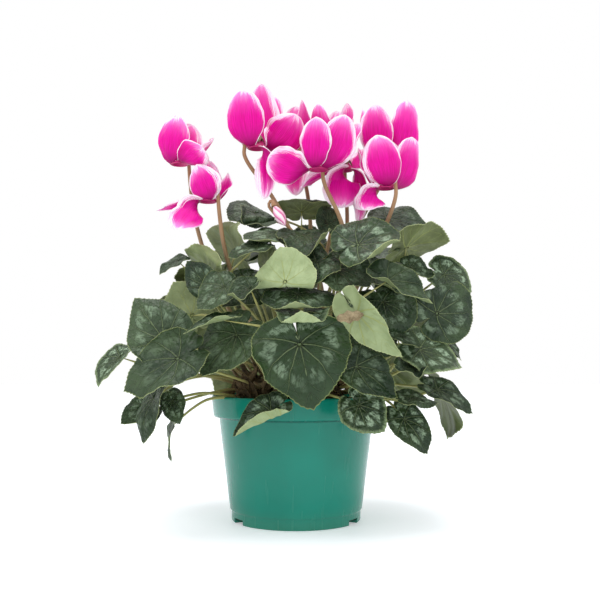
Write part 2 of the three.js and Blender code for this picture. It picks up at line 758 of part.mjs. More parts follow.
// The turns round the mouth where the five petals spring from: evenly spaced but for the stem's wider gap,
// and turned together to suit the tips
const PETAL_SPACING = radians(67);
const STEM_GAP = Math.PI * 2 - 4 * PETAL_SPACING;

function firstPetalTurn(flower) {
  let sine = 0;
  let cosine = 0;
  flower.petals.forEach(({ tip }, index) => {
    const spot = Math.atan2(tip[1], tip[0]) - index * PETAL_SPACING;
    sine += Math.sin(spot);
    cosine += Math.cos(spot);
  });
  return Math.atan2(sine, cosine);
}

// The angle about an axis from one direction to another
function turnAbout(axis, from, to) {
  const flat = to.clone().addScaledVector(axis, -to.dot(axis));
  return Math.atan2(new THREE.Vector3().crossVectors(from, flat).dot(axis), from.dot(flat));
}

// A petal: five cross-sections, hollow on the outer face, along a curve that leaves the mouth outwards and
// sweeps back to the tip
function petalGeometry(petal, root) {
  const out = new THREE.Vector3(Math.cos(root), Math.sin(root), 0);
  const beside = new THREE.Vector3(-Math.sin(root), Math.cos(root), 0);
  const tip = vec(petal.tip);
  const start = out.clone().multiplyScalar(MOUTH_RADIUS - 1.2);
  start.z = PETAL_ROOT_HEIGHT;
  const length = start.distanceTo(tip);
  const heading = tip.clone().sub(start).normalize();
  const dip = mix(PETAL_DIP_HANGING, PETAL_DIP_UPRIGHT, (heading.z + 1) / 2);
  const bulge = out.clone().multiplyScalar(length * PETAL_BULGE);
  const first = start.clone().add(bulge).addScaledVector(up, -dip);
  const second = tip.clone().addScaledVector(heading, -length * PETAL_LEAD).add(bulge);
  const curve = new THREE.CubicBezierCurve3(start, first, second, tip);
  const points = [];
  const triangles = [];
  for (const { along, share } of PETAL_STATIONS) {
    const middle = curve.getPoint(along);
    const tangent = curve.getTangent(along);
    const side = beside.clone().addScaledVector(tangent, -beside.dot(tangent)).normalize();
    const outer = new THREE.Vector3().crossVectors(side, tangent);
    const twist = petal.face ? turnAbout(tangent, outer, vec(petal.face)) : radians(PETAL_TWIST);
    const turned = twist * Math.min(1, along * PETAL_TURN_PACE);
    side.applyAxisAngle(tangent, turned);
    outer.applyAxisAngle(tangent, turned);
    const halfWidth = (petal.width * share) / 2;
    const hollow = petal.width * share * PETAL_HOLLOW;
    for (const lift of [PETAL_THICKNESS / 2, -PETAL_THICKNESS / 2]) {
      for (const across of [-1, 0, 1]) {
        const sag = across === 0 ? 0 : -hollow;
        const point = middle.clone().addScaledVector(side, across * halfWidth);
        points.push(point.addScaledVector(outer, lift + sag));
      }
    }
  }
  const last = PETAL_STATIONS.length - 1;
  for (let i = 0; i < last; i += 1) {
    const a = i * 6;
    const b = a + 6;
    for (const j of [0, 1]) {
      triangles.push([a + j, a + j + 1, b + j + 1], [a + j, b + j + 1, b + j]);
      triangles.push([a + 3 + j, b + 4 + j, a + 4 + j], [a + 3 + j, b + 3 + j, b + 4 + j]);
    }
    triangles.push([a, b, b + 3], [a, b + 3, a + 3]);
    triangles.push([a + 2, a + 5, b + 5], [a + 2, b + 5, b + 2]);
  }
  for (const j of [0, 1]) {
    triangles.push([j, j + 3, j + 4], [j, j + 4, j + 1]);
    const e = last * 6 + j;
    triangles.push([e, e + 1, e + 4], [e, e + 4, e + 3]);
  }
  return closedGeometry(points, triangles);
}

function corollaGeometry(flower) {
  const tube = lathe([
    [0, TUBE_HEIGHT * 0.7],
    [MOUTH_RADIUS - TUBE_WALL, 0],
    [MOUTH_RADIUS, 0],
    [TUBE_TOP_RADIUS + 0.4, TUBE_HEIGHT * 0.6],
    [TUBE_TOP_RADIUS - 1.4, TUBE_HEIGHT * 0.93],
    [0, TUBE_HEIGHT],
  ], TUBE_SIDES);
  const start = firstPetalTurn(flower);
  const root = (index) => start + index * PETAL_SPACING;
  const petals = flower.petals.map((petal, index) => petalGeometry(petal, root(index)));
  return fuse([tube, ...petals]).translate(...flower.mouth);
}

// The calyx: five pointed sepals over the top of the tube, its middle on the flower's axis
const SEPAL_TIP = [6.8, 4.8];
const SEPAL_NOTCH = [5.5, 8.2];
const CALYX_WALL = 0.9;
const CALYX_TOP = 13.4;
const CALYX_SIDES = 10;
const CALYX_CAP = 1.6;

function calyxGeometry() {
  const points = [new THREE.Vector3(0, 0, CALYX_TOP), new THREE.Vector3(0, 0, CALYX_TOP - CALYX_CAP)];
  const triangles = [];
  for (let i = 0; i < CALYX_SIDES; i += 1) {
    const angle = (i / CALYX_SIDES) * Math.PI * 2;
    const [radius, height] = i % 2 === 0 ? SEPAL_TIP : SEPAL_NOTCH;
    for (const inset of [0, CALYX_WALL]) {
      points.push(new THREE.Vector3(
        (radius - inset) * Math.cos(angle),
        (radius - inset) * Math.sin(angle),
        height,
      ));
    }
    const here = 2 + i * 2;
    const next = 2 + ((i + 1) % CALYX_SIDES) * 2;
    triangles.push([0, here, next], [1, next + 1, here + 1]);
    triangles.push([here, here + 1, next + 1], [here, next + 1, next]);
  }
  return closedGeometry(points, triangles);
}

// A round rod of changing radius along a path, closed at both ends
function rodGeometry(path, radii, sides, footNormal) {
  const rings = sweepRings(path, radii, sides, { first: footNormal });
  const points = rings.flat();
  const triangles = ringTriangles(rings.length, sides, 0);
  for (let j = 1; j < sides - 1; j += 1) {
    triangles.push([0, j + 1, j]);
    const end = (rings.length - 1) * sides;
    triangles.push([end, end + j, end + j + 1]);
  }
  return closedGeometry(points, triangles);
}

function ringTriangles(count, sides, offset) {
  const triangles = [];
  for (let k = 0; k < count - 1; k += 1) {
    for (let j = 0; j < sides; j += 1) {
      const a = offset + k * sides + j;
      const b = offset + k * sides + ((j + 1) % sides);
      triangles.push([a, b, b + sides], [a, b + sides, a + sides]);
    }
  }
  return triangles;
}

// Rings of points square to a path, carried along it without twist. The first and last rings can be given
// another way to face, and the points a direction to start from.
const ANY_SPOKE = new THREE.Vector3(1, 0.3, 0.1);

function sweepRings(path, radii, sides, { first, last, start }) {
  const rings = [];
  let spoke = start ?? ANY_SPOKE;
  path.forEach((point, index) => {
    const before = path[Math.max(0, index - 1)];
    const after = path[Math.min(path.length - 1, index + 1)];
    let tangent = after.clone().sub(before).normalize();
    if (index === 0 && first) {
      tangent = first;
    }
    if (index === path.length - 1 && last) {
      tangent = last;
    }
    spoke = spoke.clone().addScaledVector(tangent, -spoke.dot(tangent)).normalize();
    const second = new THREE.Vector3().crossVectors(tangent, spoke);
    const ring = [];
    for (let j = 0; j < sides; j += 1) {
      const angle = (j / sides) * Math.PI * 2;
      ring.push(point.clone()
        .addScaledVector(spoke, radii[index] * Math.cos(angle))
        .addScaledVector(second, radii[index] * Math.sin(angle)));
    }
    rings.push(ring);
  });
  return rings;
}

// Where the stalks stand on the tuber's crown: low ones near its edge, high ones in the middle, pushed apart
const CROWN_SPREAD = 24;
const FOOT_GAP = 0.9;
const FOOT_ROUNDS = 400;

function placeFeet(items) {
  const spots = items.map(({ towards }) => {
    const ray = towards.clone().sub(heart);
    const plan = Math.hypot(ray.x, ray.y);
    const radius = (CROWN_SPREAD * plan) / Math.max(1, ray.length());
    return new THREE.Vector2(ray.x, ray.y).multiplyScalar(radius / Math.max(1, plan));
  });
  for (let round = 0; round < FOOT_ROUNDS; round += 1) {
    for (let i = 0; i < spots.length; i += 1) {
      for (let j = i + 1; j < spots.length; j += 1) {
        const apart = spots[j].clone().sub(spots[i]);
        const lack = items[i].girth + items[j].girth + FOOT_GAP - apart.length();
        if (lack > 0) {
          apart.setLength(lack / 2);
          spots[i].sub(apart);
          spots[j].add(apart);
        }
      }
    }
    for (const spot of spots) {
      spot.clampLength(0, CROWN_SPREAD);
    }
  }
  return spots.map((spot) => {
    const normal = crownPoint(spot.x, spot.y).sub(new THREE.Vector3(0, 0, TUBER_MIDDLE)).normalize();
    const point = new THREE.Vector3(0, 0, TUBER_MIDDLE).addScaledVector(normal, TUBER_RADIUS + FOOT_FIT);
    return { point, normal };
  });
}

// What a new stalk keeps clear of: the blades' triangles and the stalks laid before it, in a grid of cells
const CELL = 14;
const CELL_REACH = 6;
const fixedCells = new Map();
const stalkCells = new Map();
const triangleShape = new THREE.Triangle();
const nearest = new THREE.Vector3();

function cellNumber(x, y, z) {
  return ((x + 64) * 128 + (y + 64)) * 128 + z + 64;
}

function fileInCells(cells, corners, thing) {
  const box = new THREE.Box3().setFromPoints(corners).expandByScalar(CELL_REACH);
  const low = box.min.divideScalar(CELL).floor();
  const high = box.max.divideScalar(CELL).floor();
  for (let x = low.x; x <= high.x; x += 1) {
    for (let y = low.y; y <= high.y; y += 1) {
      for (let z = low.z; z <= high.z; z += 1) {
        const number = cellNumber(x, y, z);
        if (!cells.has(number)) {
          cells.set(number, []);
        }
        cells.get(number).push(thing);
      }
    }
  }
}

function fileBlades() {
  for (const blade of blades) {
    for (const triangle of blade.triangles) {
      const corners = triangle.map((index) => blade.points[index]);
      fileInCells(fixedCells, corners, { owner: blade, corners, skin: BLADE_THICKNESS / 2 });
    }
  }
}

function fileSurface(geometry, owner) {
  const { position } = geometry.attributes;
  const corner = (index) => new THREE.Vector3().fromBufferAttribute(position, index);
  const order = geometry.index.array;
  for (let i = 0; i < order.length; i += 3) {
    const corners = [corner(order[i]), corner(order[i + 1]), corner(order[i + 2])];
    fileInCells(fixedCells, corners, { owner, corners, skin: 0 });
  }
}

function fileStalk(path, radius, owner) {
  for (let i = 0; i + 1 < path.length; i += 1) {
    const corners = [path[i], path[i + 1]];
    fileInCells(stalkCells, corners, { owner, corners, skin: radius });
  }
}

function distanceTo(thing, point) {
  const [a, b, c] = thing.corners;
  if (c) {
    triangleShape.set(a, b, c).closestPointToPoint(point, nearest);
    return nearest.distanceTo(point) - thing.skin;
  }
  const along = b.clone().sub(a);
  const share = THREE.MathUtils.clamp(point.clone().sub(a).dot(along) / along.lengthSq(), 0, 1);
  return along.multiplyScalar(share).add(a).distanceTo(point) - thing.skin;
}

function potRoom(point) {
  const plan = Math.hypot(point.x, point.y);
  const soil = SOIL_LEVEL + SOIL_HEAP;
  const outside = Math.max(plan - potRadiusAt(point.z), point.z - POT_HEIGHT);
  const inside = Math.min(innerBandRadius - plan, point.z - soil);
  return Math.max(outside, inside);
}

// The least room between a path and all that is filed, leaving out its own foot and joint
const SAMPLE_STEP = 3;
const FOOT_FREE = 5;
const JOINT_FREE = 7;
const HOPELESS = -3;

function roomOf(path, radius, sheaf, own) {
  let least = Infinity;
  const start = path[0];
  const end = path[path.length - 1];
  for (let i = 0; i + 1 < path.length; i += 1) {
    const steps = Math.max(1, Math.ceil(path[i].distanceTo(path[i + 1]) / SAMPLE_STEP));
    for (let step = 0; step < steps; step += 1) {
      const point = path[i].clone().lerp(path[i + 1], (step + 0.5) / steps);
      const nearFoot = point.distanceTo(start) < FOOT_FREE;
      const nearJoint = point.distanceTo(end) < JOINT_FREE;
      if (!nearFoot) {
        least = Math.min(least, potRoom(point) - radius);
      }
      const cell = point.clone().divideScalar(CELL).floor();
      const number = cellNumber(cell.x, cell.y, cell.z);
      for (const thing of [...(fixedCells.get(number) ?? []), ...(stalkCells.get(number) ?? [])]) {
        const ownBlade = thing.owner === own && nearJoint;
        const ownFoot = thing.owner === sheaf && thing.corners.length === 2;
        if (!ownBlade && !ownFoot) {
          least = Math.min(least, distanceTo(thing, point) - radius);
        }
      }
      if (least < HOPELESS) {
        return least;
      }
    }
  }
  return least;
}

// The route of a stalk from its foot to its end: of a fan of smooth curves, the plainest that is clear
const ROUTE_BOWS = [0, 0.12, 0.24, 0.38, 0.55, 0.75];
const ROUTE_REACHES = [0.3, 0.16, 0.45];
const FOOT_REACH = 0.3;
const FOOT_BOW = 0.7;
const JOINT_BOW = 0.8;
const LACK_COST = 50;

function routeChoices(arrivals) {
  const choices = [];
  const turns = ROUTE_BOWS.flatMap((bow) => (bow === 0 ? [0] : [bow, -bow]));
  for (const side of turns) {
    for (const lift of turns) {
      for (const reach of ROUTE_REACHES) {
        for (const arrival of arrivals) {
          const cost = Math.abs(side) + Math.abs(lift) + Math.abs(reach - ROUTE_REACHES[0]);
          choices.push({ side, lift, reach, arrival, cost });
        }
      }
    }
  }
  return choices.sort((a, b) => a.cost - b.cost);
}

function routeStalk({ foot, end, arrivals, radius, steps, sheaf, own }) {
  const distance = foot.point.distanceTo(end);
  const along = end.clone().sub(foot.point).normalize();
  const sideways = new THREE.Vector3().crossVectors(along, up).normalize();
  const lifted = new THREE.Vector3().crossVectors(sideways, along);
  let best = null;
  for (const { side, lift, reach, arrival, cost } of routeChoices(arrivals)) {
    if (best !== null && cost >= best.cost) {
      break;
    }
    const bow = sideways.clone().multiplyScalar(side).addScaledVector(lifted, lift);
    const second = foot.point.clone().addScaledVector(foot.normal, distance * FOOT_REACH);
    second.addScaledVector(bow, distance * FOOT_BOW);
    const third = end.clone().addScaledVector(arrival, distance * reach);
    third.addScaledVector(bow, distance * JOINT_BOW);
    const path = new THREE.CubicBezierCurve3(foot.point, second, third, end).getPoints(steps);
    const room = roomOf(path, radius, sheaf, own);
    const fullCost = cost + Math.max(0, STEM_CLEARANCE - room) * LACK_COST;
    if (best === null || fullCost < best.cost) {
      best = { path, cost: fullCost, room };
    }
  }
  return best;
}

// The hook of a flower stem: up beside the mouth in the petals' gap, over, and down into the calyx
const HOOK_RADIUS = 1.4;
const HOOK_REACHES = [10.5, 11.5, 12.5, 13.5];
const HOOK_TURNS = [0, 6, -6, 12, -12, 18, -18];
const SHIFT_COST = 0.002;

function hookPoints(flower, turn, reach) {
  const beside = new THREE.Vector3(Math.cos(turn), Math.sin(turn), 0);
  const steps = [
    [reach + 1, -9],
    [reach, 3],
    [reach - 0.5, 12],
    [reach * 0.66, 18.5],
    [reach * 0.22, 19],
    [0, CALYX_TOP - 0.8],
  ];
  return steps.map(([out, rise]) => vec(flower.mouth).addScaledVector(beside, out).addScaledVector(up, rise));
}

function clearestHook(flower) {
  const gapMiddle = firstPetalTurn(flower) - STEM_GAP / 2;
  let best = null;
  for (const reach of HOOK_REACHES) {
    for (const shift of HOOK_TURNS) {
      const points = hookPoints(flower, gapMiddle + radians(shift), reach);
      const room = roomOf(points.slice(0, -1), HOOK_RADIUS, flower, null);
      const score = Math.min(room, STEM_CLEARANCE) - Math.abs(shift) * SHIFT_COST;
      if (best === null || score > best.score) {
        best = { points, score, room };
      }
    }
  }
  return best;
}

// The drooping bud: rolled petals in a pointed spindle, hanging from its own hooked stem
const bud = { top: [-18, -60, 271], tip: [-9, -66, 254] };
const BUD_RINGS = [[0, 1.6], [0.2, 3.4], [0.55, 4.3], [0.85, 2.6], [1, 0.5]];
const BUD_SIDES = 10;
const BUD_CALYX_RADIUS = 2.8;
const BUD_HOOK = [[7, 0], [5.6, 5], [2.2, 6.4], [0.4, 0.8]];
const BUD_TURN = 16;

function budGeometry() {
  const top = vec(bud.top);
  const along = vec(bud.tip).sub(top);
  const length = along.length();
  along.normalize();
  const first = new THREE.Vector3().crossVectors(along, up).normalize();
  const second = new THREE.Vector3().crossVectors(along, first);
  const points = [];
  BUD_RINGS.forEach(([share, radius], ring) => {
    for (let j = 0; j < BUD_SIDES; j += 1) {
      const angle = ((j / BUD_SIDES) * 360 + ring * BUD_TURN) * (Math.PI / 180);
      const fold = j % 2 === 0 ? 1.12 : 0.86;
      points.push(top.clone()
        .addScaledVector(along, share * length)
        .addScaledVector(first, radius * fold * Math.cos(angle))
        .addScaledVector(second, radius * fold * Math.sin(angle)));
    }
  });
  const triangles = ringTriangles(BUD_RINGS.length, BUD_SIDES, 0);
  const end = (BUD_RINGS.length - 1) * BUD_SIDES;
  for (let j = 1; j < BUD_SIDES - 1; j += 1) {
    triangles.push([0, j + 1, j], [end, end + j, end + j + 1]);
  }
  return closedGeometry(points, triangles);
}

// A leaf as one closed body: the blade's two faces and edge, and the stalk from under the joint to the foot
function leafGeometry(blade, path, footNormal) {
  const { ring, points, triangles } = blade;
  const normals = sheetNormals(points, triangles);
  const half = BLADE_THICKNESS / 2;
  const all = points.map((point, index) => point.clone().addScaledVector(normals[index], half));
  const count = points.length;
  for (let index = 1; index < count; index += 1) {
    all.push(points[index].clone().addScaledVector(normals[index], -half));
  }
  const under = (index) => count - 1 + index;
  const faces = triangles.map((triangle) => [...triangle]);
  for (const [a, b, c] of triangles) {
    if (a !== 0) {
      faces.push([under(a), under(c), under(b)]);
    }
  }
  const edge = 2 * ring;
  for (let k = 0; k < edge; k += 1) {
    const here = 1 + ring + k;
    const next = 1 + ring + ((k + 1) % edge);
    faces.push([here, next, under(next)], [here, under(next), under(here)]);
  }
  const stalkStart = all.length;
  const nose = points[1].clone().sub(points[0]);
  nose.addScaledVector(normals[0], -nose.dot(normals[0])).normalize();
  const side = new THREE.Vector3().crossVectors(nose, normals[0]);
  const centre = points[0].clone().addScaledVector(normals[0], -half);
  for (let j = 0; j < PETIOLE_SIDES; j += 1) {
    const angle = (j / PETIOLE_SIDES) * Math.PI * 2;
    all.push(centre.clone()
      .addScaledVector(nose, PETIOLE_RADIUS * Math.cos(angle))
      .addScaledVector(side, PETIOLE_RADIUS * Math.sin(angle)));
  }
  let i = 0;
  let j = 0;
  while (i < ring || j < PETIOLE_SIDES) {
    const inner = under(1 + (i % ring));
    const spoke = stalkStart + (j % PETIOLE_SIDES);
    const ringNext = (i + 1) / ring;
    const spokeNext = (j + 1) / PETIOLE_SIDES;
    if (i < ring && ringNext <= spokeNext + 1e-9) {
      faces.push([spoke, inner, under(1 + ((i + 1) % ring))]);
      i += 1;
    } else {
      faces.push([spoke, inner, stalkStart + ((j + 1) % PETIOLE_SIDES)]);
      j += 1;
    }
  }
  const down = [...path].reverse();
  const radii = down.map(() => PETIOLE_RADIUS);
  const last = footNormal.clone().negate();
  const rings = sweepRings(down, radii, PETIOLE_SIDES, { start: nose, last });
  for (const stalkRing of rings.slice(1)) {
    all.push(...stalkRing);
  }
  faces.push(...ringTriangles(rings.length, PETIOLE_SIDES, stalkStart));
  const foot = stalkStart + (rings.length - 1) * PETIOLE_SIDES;
  for (let k = 1; k < PETIOLE_SIDES - 1; k += 1) {
    faces.push([foot, foot + k, foot + k + 1]);
  }
  return closedGeometry(all, faces);
}

// Feet first, then the flower stems, then the petioles from the outermost blade inwards
const footItems = [
  ...flowers.map((flower) => ({ owner: flower, towards: vec(flower.mouth), girth: STEM_RADIUS })),
  { owner: bud, towards: vec(bud.top), girth: HOOK_RADIUS },
  ...leafSheaves.map((sheaf) => {
    const towards = new THREE.Vector3();
    for (const { joint } of sheaf.leaves) {
      towards.addScaledVector(vec(joint), 1 / sheaf.leaves.length);
    }
    return { owner: sheaf, towards, girth: PETIOLE_RADIUS + sheaf.leaves.length - 1 };
  }),
];
const feet = new Map();
placeFeet(footItems).forEach((foot, index) => feet.set(footItems[index].owner, foot));
fileBlades();
for (const flower of flowers) {
  flower.corolla = corollaGeometry(flower);
  fileSurface(flower.corolla, flower);
}
fileSurface(budGeometry(), bud);

const STEM_STEPS = 6;
const STEM_PLUMB = 0.35;

function traceFlower(flower) {
  const hook = clearestHook(flower);
  const [end] = hook.points;
  const homeward = feet.get(flower).point.clone().sub(end).normalize();
  const route = routeStalk({
    foot: feet.get(flower),
    end,
    arrivals: [homeward.addScaledVector(up, -STEM_PLUMB).normalize()],
    radius: STEM_RADIUS,
    steps: STEM_STEPS,
    sheaf: flower,
    own: flower,
  });
  return { path: [...route.path, ...hook.points.slice(1)], room: Math.min(route.room, hook.room) };
}

function traceBud() {
  const back = vec(bud.top).sub(vec(bud.tip)).setZ(0).normalize();
  const hook = BUD_HOOK.map(([out, rise]) => (
    vec(bud.top).addScaledVector(back, out).addScaledVector(up, rise)
  ));
  const route = routeStalk({
    foot: feet.get(bud),
    end: hook[0],
    arrivals: [feet.get(bud).point.clone().sub(hook[0]).normalize()],
    radius: HOOK_RADIUS,
    steps: STEM_STEPS,
    sheaf: bud,
    own: bud,
  });
  return { path: [...route.path, ...hook.slice(1)], room: route.room };
}

function tracePetiole(blade) {
  const [joint, front] = blade.points;
  const below = sheetNormals(blade.points, blade.triangles)[0].negate();
  const nose = front.clone().sub(joint).normalize();
  const inward = heart.clone().sub(joint).normalize();
  const sisters = blade.sheaf.leaves;
  const foot = feet.get(blade.sheaf);
  const beside = new THREE.Vector3().crossVectors(foot.normal, up).normalize();
  const offset = 2 * sisters.indexOf(blade.row) - (sisters.length - 1);
  return routeStalk({
    foot: { point: foot.point.clone().addScaledVector(beside, offset), normal: foot.normal },
    end: joint,
    arrivals: [
      below.clone().addScaledVector(nose, -0.4).normalize(),
      below.clone().addScaledVector(inward, 0.9).normalize(),
      below.clone().addScaledVector(nose, -1.2).addScaledVector(inward, 0.6).normalize(),
    ],
    radius: PETIOLE_RADIUS,
    steps: PETIOLE_STEPS,
    sheaf: blade.sheaf,
    own: blade,
  });
}

// Lays all stalks, the flower stems first and then the petioles from the outermost blade inwards. In a
// further round those that lacked room come first.
const ROUTE_ROUNDS = 6;

function layStalks() {
  const jobs = [
    ...flowers.map((flower) => ({ item: flower, owner: flower, radius: STEM_RADIUS, trace: traceFlower })),
    { item: bud, owner: bud, radius: HOOK_RADIUS, trace: traceBud },
    ...[...blades]
      .sort((a, b) => b.points[0].distanceTo(heart) - a.points[0].distanceTo(heart))
      .map((blade) => ({ item: blade, owner: blade.sheaf, radius: PETIOLE_RADIUS, trace: tracePetiole })),
  ];
  let least = Infinity;
  for (let round = 0; round < ROUTE_ROUNDS && least > 0; round += 1) {
    stalkCells.clear();
    const lacks = new Map();
    let shortage = 0;
    for (const job of jobs) {
      job.laid = job.trace(job.item);
      fileStalk(job.laid.path, job.radius, job.owner);
      lacks.set(job, Math.max(0, STEM_CLEARANCE - job.laid.room));
      shortage += lacks.get(job);
    }
    if (shortage < least) {
      least = shortage;
      for (const { item, laid } of jobs) {
        item.path = laid.path;
      }
    }
    jobs.sort((a, b) => Math.sign(lacks.get(b)) - Math.sign(lacks.get(a)));
  }
}

layStalks();

for (const flower of flowers) {
  addNode(`flower_${flower.name}_petals`, flower.corolla, 0xe0108c, 0.55);
  const radii = flower.path.map((point, index) => (index < STEM_STEPS ? STEM_RADIUS : HOOK_RADIUS));
  const rod = rodGeometry(flower.path, radii, STEM_SIDES, feet.get(flower).normal);
  const calyx = calyxGeometry().translate(...flower.mouth);
  addNode(`flower_${flower.name}_stem`, fuse([rod, calyx]), 0x8a6a3a, 0.6);
}
addNode("bud_petals", budGeometry(), 0xd870b0, 0.55);
const budRadii = bud.path.map(() => HOOK_RADIUS);
budRadii[budRadii.length - 1] = BUD_CALYX_RADIUS;
addNode("bud_stem", rodGeometry(bud.path, budRadii, STEM_SIDES, feet.get(bud).normal), 0x7a6a3a, 0.6);

for (const sheaf of leafSheaves) {
  const { normal } = feet.get(sheaf);
  const own = blades.filter((blade) => blade.sheaf === sheaf);
  const parts = own.map((blade) => leafGeometry(blade, blade.path, normal));
  addNode(sheaf.name, parts.length === 1 ? parts[0] : fuse(parts), 0x40584a, 0.6);
}

export default group;
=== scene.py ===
# %% [markdown]
# # A potted cyclamen
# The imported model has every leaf, bloom, stem and the pot as plain faceted solids at their true size. This
# lesson dresses them: each leaf becomes a thin veined blade with a toothed edge, each bloom five silky
# petals with a white rim, and the pot smooth plastic. The places of leaves and stems are read from the
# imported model, and those of the blooms, the bud, the pot and the soil repeat its sizes.

import math

import bpy
import numpy as np
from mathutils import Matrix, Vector, noise


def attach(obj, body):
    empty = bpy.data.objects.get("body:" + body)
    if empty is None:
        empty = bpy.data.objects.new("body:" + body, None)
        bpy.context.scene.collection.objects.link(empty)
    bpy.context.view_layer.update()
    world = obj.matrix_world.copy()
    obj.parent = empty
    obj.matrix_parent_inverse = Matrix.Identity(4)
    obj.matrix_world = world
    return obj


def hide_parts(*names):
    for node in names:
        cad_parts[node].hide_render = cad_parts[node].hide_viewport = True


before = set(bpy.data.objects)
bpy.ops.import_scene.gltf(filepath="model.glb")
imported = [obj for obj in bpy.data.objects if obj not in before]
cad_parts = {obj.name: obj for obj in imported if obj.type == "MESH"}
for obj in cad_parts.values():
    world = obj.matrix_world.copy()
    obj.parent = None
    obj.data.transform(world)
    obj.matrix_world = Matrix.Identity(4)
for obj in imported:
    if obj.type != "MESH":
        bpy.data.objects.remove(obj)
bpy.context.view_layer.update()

# %% [markdown]
# ## Camera
# The plant is seen from the front, from a little above the rim of the pot, by a lens of normal length. The
# camera stands 0.75 m away and looks up by 4 degrees, which sets the plant in the picture as it should be.

# %% Camera
CAMERA_PLACE = (0.0035, -0.75, 0.1428)
CAMERA_TILT = math.radians(4.07)
CAMERA_LENS = 49.36
SENSOR_WIDTH = 36.0


def put(name, data):
    """A new object in the scene for a mesh, a curve, a light or a camera."""
    made = bpy.data.objects.new(name, data)
    bpy.context.scene.collection.objects.link(made)
    return made


def place_camera():
    lens = bpy.data.cameras.new("front_view")
    lens.lens = CAMERA_LENS
    lens.sensor_width = SENSOR_WIDTH
    camera = put("front_view", lens)
    camera.location = CAMERA_PLACE
    camera.rotation_euler = (math.pi / 2 + CAMERA_TILT, 0.0, 0.0)
    bpy.context.scene.camera = camera
    return camera


print("camera:", place_camera().location)

# %% [markdown]
# ## A short way to write materials
# A material is a graph of nodes. Long graphs are hard to read as nodes, so a small class wraps a socket and
# lets ordinary Python signs add the Math nodes. Any other node comes from one method of the `Finish` class.

# %% Shader maths as Python expressions
class Amount:
    """A number that changes over a surface."""

    def __init__(self, finish, socket):
        self.finish = finish
        self.socket = socket

    def maths(self, operation, *others, clamp=False):
        settings = {"operation": operation, "use_clamp": clamp}
        return self.finish.node("ShaderNodeMath", settings, self, *others)

    def __add__(self, other):
        return self.maths("ADD", other)

    def __radd__(self, other):
        return self.maths("ADD", other)

    def __sub__(self, other):
        return self.maths("SUBTRACT", other)

    def __rsub__(self, other):
        return self.finish.number(other).maths("SUBTRACT", self)

    def __mul__(self, other):
        return self.maths("MULTIPLY", other)

    def __rmul__(self, other):
        return self.maths("MULTIPLY", other)

    def __truediv__(self, other):
        return self.maths("DIVIDE", other)

    def __pow__(self, other):
        return self.maths("POWER", other)

    def least(self, other):
        return self.maths("MINIMUM", other)

    def most(self, other):
        return self.maths("MAXIMUM", other)

    def size(self):
        return self.maths("ABSOLUTE")

    def held(self):
        return self.maths("ADD", 0.0, clamp=True)

    def rise(self, low, high):
        """0 below low, 1 above high, and a soft step between."""
        settings = {"interpolation_type": "SMOOTHSTEP"}
        return self.finish.node("ShaderNodeMapRange", settings, self, low, high, 0.0, 1.0)


class Finish:
    """A material whose nodes are written as expressions."""

    def __init__(self, name):
        self.material = bpy.data.materials.new(name)
        self.material.use_nodes = True
        self.tree = self.material.node_tree
        self.tree.nodes.clear()
        self.output = self.tree.nodes.new("ShaderNodeOutputMaterial")

    def plug(self, socket, value):
        if isinstance(value, Amount):
            value = value.socket
        if isinstance(value, bpy.types.NodeSocket):
            self.tree.links.new(value, socket)
        elif value is not None:
            socket.default_value = value

    def node(self, kind, settings=None, *values, out=0, **named):
        made = self.tree.nodes.new(kind)
        for key, value in (settings or {}).items():
            setattr(made, key, value)
        for socket, value in zip(made.inputs, values):
            self.plug(socket, value)
        for key, value in named.items():
            self.plug(made.inputs[key.replace("_", " ")], value)
        return Amount(self, made.outputs[out])

    def number(self, value):
        made = self.node("ShaderNodeValue")
        made.socket.default_value = value
        return made

    def blend(self, share, one, two):
        """The first colour where the share is 0, the second where it is 1."""
        made = self.tree.nodes.new("ShaderNodeMix")
        made.data_type = "RGBA"
        sockets = {s.identifier: s for s in made.inputs}
        self.plug(sockets["Factor_Float"], share)
        self.plug(sockets["A_Color"], one)
        self.plug(sockets["B_Color"], two)
        return next(s for s in made.outputs if s.identifier == "Result_Color")

    def place(self):
        """The spot on the surface, in the piece's own coordinates."""
        return self.node("ShaderNodeTexCoord", out=3).socket

    def joined(self, x, y, z):
        """A spot in a pattern's own space, from three amounts."""
        return self.node("ShaderNodeCombineXYZ", None, x, y, z).socket

    def attribute(self, name):
        return self.node("ShaderNodeAttribute", {"attribute_name": name}, out=2)

    def noise(self, place, scale, detail=2.0, roughness=0.5):
        return self.node(
            "ShaderNodeTexNoise", None, Vector=place, Scale=scale, Detail=detail, Roughness=roughness,
        )

    def bump(self, height, strength, distance):
        return self.node("ShaderNodeBump", None, Height=height, Strength=strength, Distance=distance).socket

    def principled(self, **sockets):
        shader = self.tree.nodes.new("ShaderNodeBsdfPrincipled")
        for key, value in sockets.items():
            self.plug(shader.inputs[key.replace("_", " ")], value)
        self.tree.links.new(shader.outputs[0], self.output.inputs["Surface"])
        return shader


SCREEN_GAMMA = 2.2


def colour(red, green, blue):
    """A colour as seen on a screen, from 0 to 255, as the linear light that Blender works in."""
    linear = [(c / 255.0) ** SCREEN_GAMMA for c in (red, green, blue)]
    return (*linear, 1.0)


print("a middle grey in linear light:", colour(128, 128, 128))

# %% [markdown]
# ## Floor and light
# The plant stands on a pale floor in a white studio, lit softly from above and from both sides. The floor
# glows a little, so that it burns out to white, apart from the soft shadow close to the pot.

# %% Floor and light
FLOOR_RADIUS = 4.0
FLOOR_SIDES = 64
FLOOR_GLOW = 0.3
FLOOR_TINT = (0.97, 0.985, 1.0, 1.0)
WHITE = (1.0, 1.0, 1.0, 1.0)
